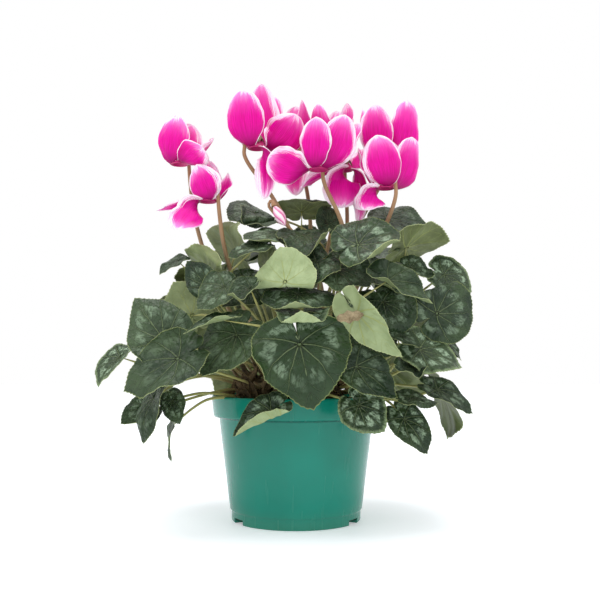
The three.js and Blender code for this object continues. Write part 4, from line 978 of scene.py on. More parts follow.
def stalk_finish():
    finish = Finish("leaf_stalk")
    place = finish.place()
    along = finish.attribute("along")
    tone = finish.noise(place, 60.0, 2.0)
    foot = finish.blend(tone, colour(126, 104, 74), colour(160, 140, 102))
    top = finish.blend(tone, colour(134, 134, 74), colour(168, 166, 104))
    finish.principled(
        Base_Color=finish.blend(along.rise(0.1, 0.6), foot, top), Roughness=0.45,
        Normal=finish.bump(finish.noise(place, 500.0, 2.0), 0.2, 0.0003),
    )
    return finish.material


leaf_materials = [leaf_top_finish(), leaf_under_finish(), stalk_finish()]
print("leaf finishes:", [m.name for m in leaf_materials])

# %% [markdown]
# ## Dry scraps
# Old leaves wither to brown scraps, which hang on at the base of the stalks and on the edge of one leaf. A
# scrap is a short strip that curls across and waves along, with a torn, uneven width.

# %% Dry scraps
SCRAP_ROWS = 14
SCRAP_COLUMNS = 9
# The scraps' thickness and crinkles in millimetres, and their wave as a share of their length
SCRAP_THICKNESS = 0.35
SCRAP_CRINKLE = 0.5
SCRAP_WAVE = 0.08
SCRAP_CURL = 1.5


def brown_finish(name, dark, light, scale, roughness):
    finish = Finish(name)
    place = finish.place()
    coarse = finish.noise(place, scale, 4.0, 0.7)
    fine = finish.noise(place, scale * 6, 3.0, 0.7)
    brown = finish.blend((coarse * 0.6 + fine * 0.4).rise(0.3, 0.7), colour(*dark), colour(*light))
    finish.principled(
        Base_Color=brown, Roughness=roughness, Specular_IOR_Level=0.2,
        Normal=finish.bump(fine, 0.6, 0.0008),
    )
    return finish.material


def dry_scrap(sheet, middle, heading, length, width, draw, finish):
    """Adds a curled, torn scrap of an old leaf, with its middle, length and width in millimetres."""
    heading = unit(heading)
    side = unit(np.cross(heading, draw.normal(size=3)))
    face = np.cross(side, heading)
    shares = np.linspace(-1, 1, SCRAP_ROWS)[:, None]
    across = np.linspace(-1, 1, SCRAP_COLUMNS)[None]
    half = width / 2 * (1 - shares ** 2 * 0.75) * (1 + 0.2 * np.sin(shares * 9 + draw.uniform(0, 6)))
    curl = draw.uniform(1.2, 2.2)
    x = half * np.sin(across * curl) / curl * SCRAP_CURL
    z = half * (1 - np.cos(across * curl)) / curl * SCRAP_CURL
    z = z + np.sin(shares * 3 + draw.uniform(0, 6)) * length * SCRAP_WAVE
    z = z + np.sin(across * 5 + shares * 4 + draw.uniform(0, 6)) * SCRAP_CRINKLE
    y = np.broadcast_to(shares * length / 2, x.shape)
    upper = np.array(middle) + side * x[..., None] + heading * y[..., None] + face * z[..., None]
    lower = upper - face * SCRAP_THICKNESS
    faces = [tuple(reversed(quad)) for quad in two_sided(SCRAP_ROWS, SCRAP_COLUMNS)]
    sheet.add(np.vstack([upper.reshape(-1, 3), lower.reshape(-1, 3)]) / 1000, faces, finish)


scrap_material = brown_finish("dry_leaf", (44, 37, 29), (132, 112, 84), 90.0, 0.8)
withered_material = brown_finish("withered_edge", (112, 98, 74), (178, 162, 130), 160.0, 0.8)
print("dry finish:", scrap_material.name)

# %% [markdown]
# ## Dress every leaf
# Young leaves are bright with silver, and older ones are plain and dark. The under faces run from olive to
# pale green, and the dark olive is painted shade on under faces that lie in shadow. The looks of the leaves
# that stand out in front are listed, and the others are drawn.

# %% Dress every leaf
# For each node, from the highest joint down: how silvery each leaf's top is, how pale its under face is,
# and for some how pointed its tip is. A low paleness gives a dark olive under face, which is painted shade
# for leaves in shadow
LEAF_LOOKS = {
    "leaves_front_large": [(0.9, 1.0, 0.3), (0.5, 0.6, 1.0)],
    "leaves_front_turned": [(0.4, 1.0, 0.0), (0.5, 0.6)],
    "leaves_front_high": [(0.7, 0.3), (0.3, 0.3)],
    "leaves_front_crown": [(0.15, 0.2), (0.35, 0.3)],
    "leaf_front_rim": [(0.75, 1.0)],
    "leaves_left_cup": [(0.3, 0.4), (0.5, 0.5), (0.3, 0.5)],
    "leaf_left_large": [(0.15, 0.6, 0.3)],
    "leaves_left_broad": [(0.3, 0.45), (0.5, 0.5)],
    "leaves_left_dark": [(0.6, 0.9), (0.25, 0.5)],
    "leaf_left_far": [(1.0, 0.7)],
    "leaves_left_back": [(0.3, 0.35), (0.3, 0.3)],
    "leaves_right_veined": [(0.8, 0.4), (0.4, 0.3), (0.3, 0.3)],
    "leaf_right_underside": [(0.4, 0.1, 0.4)],
    "leaf_right_shoulder": [(0.3, 0.1)],
    "leaf_right_boat": [(0.15, 0.6)],
    "leaf_right_twisted": [(0.4, 0.8, 1.0)],
    "leaves_right_round": [(1.0, 0.5), (0.5, 0.4)],
    "leaf_right_grey": [(0.45, 0.4)],
    "leaves_right_heart": [(1.0, 0.9), (0.8, 0.6)],
    "leaves_right_pointed": [(0.6, 0.5), (0.8, 0.8)],
    "leaves_right_rim": [(0.35, 0.4), (1.0, 0.6)],
    "leaves_top_middle": [(0.2, 0.0), (0.1, 0.2), (0.2, 0.2)],
}
# For each node, each leaf's folds: the way that a fold lies off, in degrees from the tip, how far out it
# lies, how far it turns and its radius, the lengths as shares of the blade's
LEAF_FOLDS = {
    "leaf_front_rim": [[(-80, 0.17, 130, 0.03)]],
    "leaves_front_large": [[(0, 0.6, 130, 0.03)], []],
    "leaves_front_turned": [[(163, 0.06, 120, 0.06)], [(0, 0.74, 120, 0.04)]],
    "leaf_right_twisted": [[(180, 0.4, 100, 0.07), (90, 0.3, 130, 0.06)]],
    "leaves_right_veined": [[(75, 0.5, 120, 0.05)], [], []],
    "leaf_left_large": [[(100, 0.4, 70, 0.12)]],
    "leaves_left_dark": [[(90, 0.36, 130, 0.04)], []],
}


def drawn_folds(draw):
    """Half of the leaves get one fold, of a side or of the tip, more often up than down."""
    if draw.uniform() < 0.5:
        return []
    return [(draw.choice([-90, -70, 0, 70, 90]) + draw.uniform(-15, 15), draw.uniform(0.42, 0.6),
             draw.choice([1, 1, -1]) * draw.uniform(40, 120), draw.uniform(0.05, 0.1))]


print("leaves with folds chosen by hand:", sum(map(bool, sum(LEAF_FOLDS.values(), []))))

# %% Blades, stalks and scraps together
LEAF_SEED = 100
# How far the stalk's end stays under the blade, so that it never comes through
STALK_SHORT = 0.0007
# The stalk's radius in millimetres at these shares of the way up, its sides, and its rings' spacing
STALK_SHARES = [0, 0.1, 0.95, 1]
STALK_RADII = [1.5, 1.3, 1.0, 0.3]
STALK_SIDES = 8
STALK_STEP = 0.004
# The withered scrap on one leaf: its node, its place from the joint, its heading, length and width in mm
WITHERED_LEAF = "leaf_right_twisted"
WITHERED_PLACE = (-6, -4, -3)
WITHERED_HEADING = (1, -0.1, 0.15)
WITHERED_LENGTH = 21
WITHERED_WIDTH = 8


def leaf_looks(node, index, draw):
    chosen = LEAF_LOOKS.get(node, [])
    # Leaves that are not listed get a low paleness and the back leaves none, so their under faces take the
    # dark olive of painted shade
    looks = chosen[index] if index < len(chosen) else (draw.uniform(0.2, 0.7), draw.uniform(0.1, 0.4))
    return (looks[0], 0.0) if node.startswith("leaves_back") else looks


def leaf_folds(node, index, draw):
    chosen = LEAF_FOLDS.get(node, [])
    return chosen[index] if index < len(chosen) else drawn_folds(draw)


def leaf_stalk(leaf):
    """The path of a leaf's stalk from foot to blade, with its radius at each point."""
    path = smooth_path(leaf["stalk"][::-1])
    path[-1] -= unit(path[-1] - path[-2]) * STALK_SHORT
    return path, np.interp(np.linspace(0, 1, len(path)), STALK_SHARES, STALK_RADII) / 1000


def dress_leaves():
    total = 0
    for order, (node, leaves) in enumerate(plant_leaves.items()):
        draw = np.random.default_rng(LEAF_SEED + order)
        sheet = Sheet()
        for index, leaf in enumerate(leaves):
            looks = leaf_looks(node, index, draw)
            bend_leaf(leaf, sheet, draw, looks, leaf_folds(node, index, draw))
        if node == WITHERED_LEAF:
            middle = leaves[0]["sheet"][0] * 1000 + WITHERED_PLACE
            dry_scrap(sheet, middle, WITHERED_HEADING, WITHERED_LENGTH, WITHERED_WIDTH, draw, SCRAP)
        stalks = [leaf_stalk(leaf) for leaf in leaves]
        add_rods(sheet, node + "_stalks", stalks, leaf_materials[STALK], STALK, STALK_SIDES, STALK_STEP)
        show(sheet.mesh(node + "_fine", [*leaf_materials, withered_material]), node)
        total += len(sheet.faces)
    return total


print("leaf faces:", dress_leaves())

# %% [markdown]
# ## Flower stems
# Each bloom nods on a stem of its own, which rises from the tuber, hooks over behind the bloom and ends in a
# brown-green calyx of five small sepals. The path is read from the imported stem's rings of five points, and
# swept as the leaf stalks are.

# %% The stems' paths
STEM_SIDES = 5
# How high the calyx ends over the bloom's mouth, in metres
CALYX_TOP = 0.0134
# The middle of each bloom's mouth, in metres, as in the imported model
BLOOM_MOUTHS = {
    "left_upper": (-0.102, -0.040, 0.312),
    "left_lower": (-0.076, -0.050, 0.277),
    "left_tall": (-0.034, -0.048, 0.324),
    "back_left": (-0.006, -0.004, 0.327),
    "front_middle": (0.019, -0.062, 0.302),
    "back_middle": (0.034, 0.012, 0.334),
    "back_right": (0.082, -0.004, 0.322),
    "front_right": (0.077, -0.048, 0.289),
    "middle_nodding": (0.043, -0.026, 0.310),
}


def stem_path(node):
    """The middles of a packed stem's rings, from its foot up."""
    points, triangles = merged(node)
    near, _ = neighbours(len(points), triangles)
    foot = np.argsort(np.linalg.norm(points - TUBER_MIDDLE, axis=1))[:STEM_SIDES]
    return np.array(walk_rings(points, near, foot.tolist(), []))


def stem_finish():
    finish = Finish("flower_stem")
    place = finish.place()
    along = finish.attribute("along")
    tone = finish.noise(place, 45.0, 3.0)
    low = finish.blend(tone, colour(132, 112, 78), colour(176, 150, 112))
    high = finish.blend(tone, colour(124, 88, 58), colour(172, 132, 96))
    speck = finish.noise(place, 900.0, 2.0)
    finish.principled(
        Base_Color=finish.blend(along.rise(0.35, 0.95), low, high), Roughness=0.5,
        Normal=finish.bump(speck, 0.25, 0.0003),
    )
    return finish.material


stem_material = stem_finish()
stem_paths = {name: stem_path(f"flower_{name}_stem") for name in BLOOM_MOUTHS}
print("stem rings:", {name: len(path) for name, path in stem_paths.items()})

# %% The calyx
SEPALS = 5
CALYX_AROUND = 60
# In metres over the bloom's mouth: the sepals' tips, the clefts between them, and the calyx's outline
SEPAL_TIP = 0.0042
SEPAL_CLEFT = 0.0084
CALYX_HEIGHTS = [0.0042, 0.0075, 0.0105, 0.0126, CALYX_TOP]
CALYX_RADII = [0.0069, 0.0059, 0.0047, 0.0032, 0.0012]
# Where the calyx's rings of points lie, as shares of the way from a sepal's edge to the top
CALYX_SHARES = [0.0, 0.15, 0.4, 0.65, 0.85, 1.0]
SEPAL_FLARE = 0.0006
SEPAL_THICKNESS = 0.0003


def calyx(sheet, mouth, draw, finish):
    """Adds five pointed sepals that hug the top of the tube."""
    turns = circle_turns(CALYX_AROUND)
    point = (np.abs(((turns * SEPALS / (2 * math.pi)) % 1.0) - 0.5) * 2) ** 1.4
    low = mix(SEPAL_CLEFT, SEPAL_TIP, point)
    rings = []
    for share in CALYX_SHARES:
        height = mix(low, CALYX_TOP, share)
        flare = (1 - share) ** 3 * SEPAL_FLARE * draw.uniform(0.3, 1.0)
        radius = np.interp(height, CALYX_HEIGHTS, CALYX_RADII) + flare
        rings.append(np.stack([radius * np.cos(turns), radius * np.sin(turns), height], 1))
    outside = np.vstack(rings)
    inside = outside * (0.9, 0.9, 1.0) - (0.0, 0.0, SEPAL_THICKNESS)
    count = CALYX_AROUND
    last = (len(rings) - 1) * count
    faces = belts(len(rings), count) + [tuple(last + j for j in range(count))]
    shift = len(outside)
    inner = [tuple(shift + k for k in reversed(face)) for face in faces]
    hem = [(j, shift + j, shift + (j + 1) % count, (j + 1) % count) for j in range(count)]
    sheet.add(np.vstack([outside, inside]) + mouth, faces + inner + hem, finish)


def calyx_finish():
    finish = Finish("calyx")
    place = finish.place()
    tone = finish.noise(place, 220.0, 3.0)
    brown_green = finish.blend(tone, colour(96, 84, 54), colour(146, 122, 88))
    finish.principled(Base_Color=brown_green, Roughness=0.5, Normal=finish.bump(tone, 0.3, 0.0004))
    return finish.material


calyx_material = calyx_finish()
print("sepals on each calyx:", SEPALS)

# %% Dress every stem
STEM_SEED = 300
STEM_AROUND = 12
STEM_STEP = 0.0025
# The stem's radius in millimetres at these shares of the way up
STEM_SHARES = [0, 0.05, 0.5, 0.75, 1.0]
STEM_RADII = [2.1, 1.9, 1.8, 1.4, 1.35]


def dress_stems():
    total = 0
    for order, (name, mouth) in enumerate(BLOOM_MOUTHS.items()):
        node = f"flower_{name}_stem"
        draw = np.random.default_rng(STEM_SEED + order)
        path = smooth_path(np.vstack([stem_paths[name], [np.array(mouth) + (0, 0, CALYX_TOP - 0.001)]]))
        radii = np.interp(np.linspace(0, 1, len(path)), STEM_SHARES, STEM_RADII) / 1000
        sheet = Sheet()
        add_rods(sheet, node, [(path, radii)], stem_material, 0, STEM_AROUND, STEM_STEP)
        calyx(sheet, np.array(mouth), draw, 1)
        show(sheet.mesh(node + "_fine", [stem_material, calyx_material]), node)
        total += len(sheet.faces)
    return total


print("stem faces:", dress_stems())

# %% [markdown]
# ## Blooms
# A cyclamen bloom hangs with its mouth down, and its five petals sweep back over it. Each petal follows one
# bent line from the mouth to its tip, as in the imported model, with about the same width and the same turn.
# The fine petal adds a rounder or more pointed end, pleats, a soft crease, a ruffled edge and more points.

# %% The petals' lines
# For each bloom, in order round the mouth: the tip seen from the mouth and the width in millimetres, and
# for a petal that turns, the way its outer face looks in the end, then for some how far the white spreads
# over one side
BLOOM_PETALS = {
    "left_upper": [
        ((6, 26, 44), 26, None), ((-6, 14, 49), 26, None), ((0, -10, 41), 26, (-0.3, -1, 0.1), 0.3),
        ((24, -24, 8), 26, (0.2, -1, -0.4)), ((30, 0, 24), 26, None),
    ],
    "left_lower": [
        ((16, 12, 28), 20, None), ((-6, 20, 42), 24, None), ((-45, 8, -6), 10, None),
        ((-23, -22, -27), 28, (-0.2, -1, 0.3), 1.4), ((-9, -8, 31), 26, (-0.2, -1, 0)),
    ],
    "left_tall": [
        ((-11, -17, 47), 30, (-0.3, -1, 0)), ((7, -10, -46), 16, (0.3, -1, 0), 1.4),
        ((34, -9, 28), 32, (0.3, -1, 0.2)), ((3, 24, 66), 28, None), ((-22, 8, 40), 24, None),
    ],
    "back_left": [
        ((11, 8, 57), 24, None), ((6, 24, 56), 26, None), ((-14, 22, 51), 25, None),
        ((-13, -8, 55), 24, None), ((6, -15, -38), 22, None),
    ],
    "front_middle": [
        ((1, 27, 52), 28, None), ((-42, -8, 10), 31, (-0.1, -1, 0.1), 1.4),
        ((-2, -18, 41), 26, (-0.5, -1, 0)), ((22, -17, 43), 30, (0.3, -1, 0), 0.9), ((35, 8, 43), 30, None),
    ],
    "back_middle": [
        ((14, 8, 52), 26, None), ((6, 26, 50), 27, None), ((-16, 20, 48), 25, None),
        ((-14, -9, 46), 26, None), ((8, -20, 28), 24, None),
    ],
    "back_right": [
        ((20, -5, 58), 28, (0.4, -1, 0)), ((20, 28, 52), 26, None), ((0, 28, 58), 25, None),
        ((-20, 8, 54), 24, None), ((-11, -14, 51), 28, (-0.3, -1, 0)),
    ],
    "front_right": [
        ((24, 2, 46), 27, (0.6, -1, 0)), ((7, 24, 48), 26, None), ((-23, 4, 37), 26, None),
        ((-18, -12, -21), 25, (-0.4, -1, 0.2), 1.4), ((-9, -19, 42), 31, (0.1, -1, 0)),
    ],
    "middle_nodding": [
        ((-16, 9, 23), 18, None), ((-38, -10, -18), 20, None), ((-4, -18, -37), 30, (0, -1, -0.1), 1.0),
        ((12, -8, -50), 14, (0.3, -1, 0)), ((18, 9, 22), 18, None),
    ],
}
# In millimetres: the mouth's radius, how far inside and above it a petal springs, and how far its line dips
# at first, for a petal that hangs straight down and for one that stands straight up
MOUTH_RADIUS = 8.2
PETAL_ROOT = 1.2
PETAL_ROOT_HEIGHT = 0.9
PETAL_DIPS = (5.0, 1.0)
# As shares of the petal's length: how far its line bulges out, and how far back from the tip it bends
PETAL_BULGE = 0.16
PETAL_LEAD = 0.42
PETAL_SPACING = math.radians(67)


def first_petal_turn(petals):
    """Where the first petal springs from, so that all five stand as close to their tips as they can."""
    spots = [math.atan2(tip[1], tip[0]) - i * PETAL_SPACING for i, (tip, *_) in enumerate(petals)]
    return math.atan2(sum(map(math.sin, spots)), sum(map(math.cos, spots)))


def petal_line(tip, root, shares):
    """Points and directions along a petal's middle line, in millimetres from the mouth."""
    out = np.array([math.cos(root), math.sin(root), 0.0])
    start = out * (MOUTH_RADIUS - PETAL_ROOT) + (0, 0, PETAL_ROOT_HEIGHT)
    length = np.linalg.norm(tip - start)
    heading = (tip - start) / length
    bulge = out * length * PETAL_BULGE
    first = start + bulge - (0, 0, mix(*PETAL_DIPS, (heading[2] + 1) / 2))
    second = tip - heading * length * PETAL_LEAD + bulge
    t = shares[:, None]
    left = 1 - t
    line = start * left ** 3 + 3 * first * t * left ** 2 + 3 * second * t * t * left + tip * t ** 3
    slope = 3 * ((first - start) * left ** 2 + 2 * (second - first) * t * left + (tip - second) * t * t)
    return line, unit(slope), length


def turn_about(axis, vector, angle):
    """Vectors turned about unit axes, by an angle for each."""
    cosine, sine = np.cos(angle)[:, None], np.sin(angle)[:, None]
    kept = axis * (axis * vector).sum(1, keepdims=True) * (1 - cosine)
    return vector * cosine + np.cross(axis, vector) * sine + kept


first_turns = {name: round(first_petal_turn(petals), 2) for name, petals in BLOOM_PETALS.items()}
print("first petals spring at these turns:", first_turns)

# %% [markdown]
# A petal is a grid of rows along its line and columns across it. Waves, pleats and a crease lift the grid,
# and a little thickness on both sides makes it a closed skin.

# %% One petal
PETAL_STEPS = 40
PETAL_ACROSS = 21
PETAL_ENDS = [0.985, 0.995, 1.0]
# How wide a petal is along its line, as shares of its width, and half of what a share of 1 is
PETAL_ALONG = [0, 0.1, 0.2, 0.35, 0.52, 0.68, 0.84, 0.92, 0.97, 1.0]
PETAL_WIDTHS = [0.27, 0.38, 0.55, 0.82, 1.01, 1.06, 0.9, 0.68, 0.43, 0.05]
PETAL_HALF = 0.54
USUAL_TWIST = math.radians(16)
TWIST_PACE = 2.2
# Heights over the petal's smooth sheet, in millimetres, and the sag of its sides as a share of its width
PETAL_SAG = 0.13
PETAL_RUFFLE = 2.0
PETAL_FRILL = 0.5
PETAL_CREASE = 0.25
PETAL_PLEAT = 0.4
# Half of the petal's thickness in millimetres in its middle, how much its sides lose, and the least
PETAL_THICK = 0.3
PETAL_THINNING = 0.16
PETAL_THIN = 0.08


def petal_twist(face, tangent, outer):
    """How far a petal turns about its line to look the way that it should, at each row."""
    if not face:
        return np.full(len(tangent), USUAL_TWIST)
    wish = np.array(face, float)
    flat = wish - tangent * (tangent @ wish)[:, None]
    return np.arctan2((np.cross(outer, flat) * tangent).sum(1), (outer * flat).sum(1))


def petal_lift(shares, across, share, width, draw):
    """How high the petal's grid lies over its smooth sheet: sag, ruffles, crease and pleats."""
    rows, columns = shares[:, None], across[None]
    wave = np.sin(rows * draw.uniform(7, 12) + draw.uniform(0, WAVE_START) + columns * 1.5) * PETAL_RUFFLE
    wave += np.sin(rows * draw.uniform(18, 26) + draw.uniform(0, WAVE_START) - columns) * PETAL_FRILL
    sag = -(across ** 2)[None] * (width * share * PETAL_SAG)[:, None]
    lift = sag + wave * np.abs(columns) ** 3 * np.minimum(1, share * 1.4)[:, None]
    lift -= np.exp(-(across / 0.07) ** 2)[None] * PETAL_CREASE
    pleats = np.sin(across * draw.uniform(7, 11) + draw.uniform(0, WAVE_START))[None] * PETAL_PLEAT
    return lift + pleats * np.interp(shares, [0.1, 0.4, 0.9, 1], [0, 1, 1, 0])[:, None]


def add_petal(sheet, mouth, tip, width, face, root, draw, lean=None):
    """Adds one petal that springs at a turn round the mouth, with its tip and width in millimetres."""
    shares = np.linspace(0, 1, PETAL_STEPS) ** 0.9
    shares = np.sort(np.append(shares[:-1], PETAL_ENDS))
    line, tangent, length = petal_line(np.array(tip, float), root, shares)
    beside = np.array([-math.sin(root), math.cos(root), 0.0])
    side = unit(beside - tangent * (tangent @ beside)[:, None])
    outer = np.cross(side, tangent)
    turned = petal_twist(face, tangent, outer) * np.minimum(1, shares * TWIST_PACE)
    side, outer = turn_about(tangent, side, turned), turn_about(tangent, outer, turned)
    share = np.interp(shares, PETAL_ALONG, PETAL_WIDTHS)
    share = share * (1 - draw.uniform(0, 0.4) * np.clip((shares - 0.6) / 0.4, 0, 1))
    across = np.linspace(-1, 1, PETAL_ACROSS)
    half = width * share * PETAL_HALF
    lift = petal_lift(shares, across, share, width, draw)
    places = line[:, None] + side[:, None] * (across[None] * half[:, None])[..., None]
    places = places + outer[:, None] * lift[..., None]
    thick = PETAL_THICK - PETAL_THINNING * np.abs(across)[None]
    thick = np.maximum(thick * np.minimum(1, (1.02 - shares) * 8)[:, None], PETAL_THIN)[..., None]
    normal = unit(np.cross(np.gradient(places, axis=1), np.gradient(places, axis=0)))
    skin = np.vstack([(places + normal * thick).reshape(-1, 3), (places - normal * thick).reshape(-1, 3)])
    size = (len(shares), PETAL_ACROSS)
    margin = np.minimum((1 - np.abs(across))[None] * half[:, None], ((1 - shares) * length * 0.9)[:, None])

    def both(values):
        """A value at each point of the grid, for its upper and then its under side."""
        return np.tile(np.broadcast_to(values, size).ravel(), 2)

    sheet.add(
        skin / 1000 + mouth, two_sided(*size), 0,
        petal_across=both(across[None] * draw.uniform(0.9, 1.1)), petal_along=both(shares[:, None]),
        petal_margin=both(margin), draw=draw.uniform(0, 1),
        lean=draw.uniform(-1.2, 1.2) if lean is None else lean,
    )


print("points of a petal:", 2 * PETAL_ACROSS * (PETAL_STEPS - 1 + len(PETAL_ENDS)))

# %% The tube
# The tube's radius and height in millimetres, from the inside of its mouth, over its lip and up to its top
TUBE_PROFILE = [
    (0.2, 5.2), (3.4, 4.2), (5.6, 1.7), (6.7, 0.25), (7.4, -0.25), (8.1, 0.1), (7.7, 1.4), (6.4, 3.4),
    (5.2, 5.4), (4.0, 7.4), (2.8, 8.5), (0.2, 8.9),
]
TUBE_AROUND = 30


def add_tube(sheet, mouth, finish):
    """Adds the short tube that the petals spring from, with its round dark mouth."""
    turns = circle_turns(TUBE_AROUND)
    rings = [np.stack([r * np.cos(turns), r * np.sin(turns), np.full(TUBE_AROUND, z)], 1)
             for r, z in TUBE_PROFILE]
    faces = belts(len(rings), TUBE_AROUND)
    last = (len(rings) - 1) * TUBE_AROUND
    faces += [tuple(range(TUBE_AROUND - 1, -1, -1)), tuple(last + j for j in range(TUBE_AROUND))]
    sheet.add(np.vstack(rings) / 1000 + mouth, faces, finish)


print("tube rings:", len(TUBE_PROFILE))

# %% [markdown]
# A petal is magenta, darkest at its root, with a fine white rim. The white spreads over the tip, and on some
# petals over one side, in a feathered border that follows the petal's long streaks.

# %% Petal finishes
def petal_finish():
    finish = Finish("petal")
    across = finish.attribute("petal_across")
    along = finish.attribute("petal_along")
    margin = finish.attribute("petal_margin")
    draw = finish.attribute("draw")
    lean = finish.attribute("lean")
    streaks = finish.noise(finish.joined(across * 13.0, along * 1.3, draw * 37.0), 2.6, 3.0, 0.65)
    broad = finish.noise(finish.joined(across * 1.1, along * 1.6, draw * 53.0), 1.6, 1.0)
    tip = along.rise(0.45, 1.0)
    width = 0.3 + tip * 1.2 + (across * lean).rise(0.2, 0.9) * 5.0 + (broad - 0.42).most(0.0) * 14.0 * tip
    feather = (streaks - 0.5) * (0.4 + width * 5.0)
    white = 1.0 - (margin + feather).rise(width * 0.3, width * 1.1 + 0.3)
    body = finish.blend(streaks.rise(0.3, 0.7), colour(196, 0, 126), colour(226, 0, 158))
    body = finish.blend(along.rise(0.0, 0.6), colour(132, 0, 78), body)
    body = finish.blend(along.rise(0.6, 1.0) * 0.45, body, colour(250, 110, 202))
    blush = 1.0 - (margin + (streaks - 0.5) * 18.0).rise(0.0, 2.0 + tip * 9.0)
    body = finish.blend(blush * (0.05 + tip * 0.6), body, colour(253, 165, 222))
    rim = 1.0 - (margin + (streaks - 0.5) * 0.5).rise(0.35, 0.75)
    petal = finish.blend(white.most(rim).held() * 0.94, body, colour(253, 232, 244))
    finish.principled(
        Base_Color=petal, Roughness=0.5, Specular_IOR_Level=0.15,
        Subsurface_Weight=0.25, Subsurface_Radius=(0.004, 0.0015, 0.002), Subsurface_Scale=0.4,
        Normal=finish.bump(streaks, 0.4, 0.0006),
    )
    return finish.material


def tube_finish():
    finish = Finish("bloom_mouth")
    place = finish.place()
    tone = finish.noise(place, 260.0, 2.0)
    dark = finish.blend(tone, colour(150, 0, 78), colour(196, 6, 112))
    finish.principled(Base_Color=dark, Roughness=0.5, Normal=finish.bump(tone, 0.2, 0.0003))
    return finish.material


bloom_materials = [petal_finish(), tube_finish()]
print("petals:", sum(len(petals) for petals in BLOOM_PETALS.values()))

# %% Dress every bloom
BLOOM_SEED = 500


def dress_blooms():
    total = 0
    for order, (name, petals) in enumerate(BLOOM_PETALS.items()):
        node = f"flower_{name}_petals"
        draw = np.random.default_rng(BLOOM_SEED + order)
        mouth = np.array(BLOOM_MOUTHS[name])
        sheet = Sheet()
        start = first_petal_turn(petals)
        for i, (tip, width, face, *lean) in enumerate(petals):
            add_petal(sheet, mouth, tip, width, face, start + i * PETAL_SPACING, draw, *lean)
        add_tube(sheet, mouth, 1)
        show(sheet.mesh(node + "_fine", bloom_materials), node)
        total += len(sheet.faces)
    return total


print("bloom faces:", dress_blooms())

# %% [markdown]
# ## The bud
# One bud nods among the leaves at the front. Its petals are still rolled round one another, so it is a slim
# spindle with a spiral of folds, pink on the raised turns and white between them.

# %% The bud
# Where the bud begins and where it ends, in metres
BUD_TOP = np.array([-0.018, -0.060, 0.271])
BUD_TIP = np.array([-0.009, -0.066, 0.254])
# The bud's radius in millimetres at these shares of the way from its top to its tip
BUD_SHARES = [0.0, 0.1, 0.2, 0.38, 0.55, 0.72, 0.85, 0.95, 1.0]
BUD_RADII = [1.6, 2.7, 3.4, 4.1, 4.3, 3.7, 2.6, 1.2, 0.4]
# How many folds go round the bud, and how far they twist from its top to its tip, in radians
BUD_FOLDS = 5
BUD_TWIST = 1.5
BUD_AROUND = 60
BUD_STEPS = 26
# The stem's radius in the same way, from its foot to the bud
BUD_STEM_SHARES = [0, 0.9, 0.96, 1]
BUD_STEM_RADII = [1.4, 1.3, 1.8, 2.6]


def bud_finish():
    finish = Finish("bud_petal")
    stripe = finish.attribute("petal_across")
    along = finish.attribute("petal_along")
    vary = finish.noise(finish.place(), 420.0, 2.0)
    pink = ((stripe + (vary - 0.5) * 0.3).rise(0.3, 0.85) * 0.85 + along * 0.1).held()
    petal = finish.blend(pink, colour(244, 222, 228), colour(206, 70, 146))
    finish.principled(Base_Color=petal, Roughness=0.5, Normal=finish.bump(vary, 0.2, 0.0003))
    return finish.material


def dress_bud():
    """The rolled petals, as a spindle whose radius grows and drops back five times round it."""
    axis = unit(BUD_TIP - BUD_TOP)
    side = unit(np.cross(axis, (0.0, 0.0, 1.0)))
    beside = np.cross(axis, side)
    length = np.linalg.norm(BUD_TIP - BUD_TOP)
    shares = np.linspace(0, 1, BUD_STEPS)
    turns = circle_turns(BUD_AROUND)
    fold = ((turns[None] + shares[:, None] * BUD_TWIST) * BUD_FOLDS / (2 * math.pi)) % 1.0
    ridge = 0.9 + 0.2 * fold ** 0.7 * np.sin(math.pi * shares)[:, None] + 0.02
    radius = np.interp(shares, BUD_SHARES, BUD_RADII)[:, None] / 1000 * ridge
    out = side * (radius * np.cos(turns))[..., None] + beside * (radius * np.sin(turns))[..., None]
    places = BUD_TOP + axis * (shares * length)[:, None, None] + out
    faces = belts(BUD_STEPS, BUD_AROUND)
    last = (BUD_STEPS - 1) * BUD_AROUND
    faces += [tuple(range(BUD_AROUND - 1, -1, -1)), tuple(last + j for j in range(BUD_AROUND))]
    sheet = Sheet()
    sheet.add(places.reshape(-1, 3), faces, 0, petal_across=fold.ravel(),
              petal_along=np.repeat(shares, BUD_AROUND))
    show(sheet.mesh("bud_petals_fine", [bud_finish()]), "bud_petals")
    return len(faces)


def dress_bud_stem():
    """The bud's stem, which thickens into a small calyx at its end."""
    path = smooth_path(stem_path("bud_stem"))
    radii = np.interp(np.linspace(0, 1, len(path)), BUD_STEM_SHARES, BUD_STEM_RADII) / 1000
    stem = sweep("bud_stem_fine", [(path, radii)], stem_material, STEM_AROUND, STEM_STEP)
    show(stem, "bud_stem")
    return len(path)


print("bud faces:", dress_bud(), "and points along its stem:", dress_bud_stem())

# %% [markdown]
# ## The pot
# The pot is thin moulded plastic: a plain cone, a deeper band at the rim and a small step at the foot. Its
# profile, with its corners rounded, is turned round the axis. The three drain notches are then cut out of
# the foot by a Boolean modifier, because a turned skin can't have gaps in its edge.

# %% The pot's profile
# Radius and height in millimetres, from the middle of the underside, round the outside and back inside
POT_PROFILE = [
    (0.0, 0.0), (30.0, 0.0), (56.4, 0.0), (57.2, 0.25), (57.6, 1.0), (57.6, 5.0), (57.6, 8.7), (57.85, 9.2),
    (58.8, 10.2), (59.05, 10.9), (61.6, 30.0), (64.1, 50.0), (66.7, 70.0), (68.9, 88.5), (69.15, 90.6),
    (69.5, 91.0), (72.0, 91.0), (73.2, 91.3), (74.0, 92.2), (74.3, 93.4), (75.0, 100.0), (75.85, 108.0),
    (75.85, 109.2), (75.4, 109.8), (74.7, 110.0), (74.0, 109.8), (73.5, 109.3), (72.4, 102.0), (71.2, 93.0),
    (67.3, 90.0), (64.6, 70.0), (59.6, 30.0), (56.6, 3.4), (55.4, 2.2), (30.0, 2.0), (0.0, 2.0),
]
POT_AROUND = 240
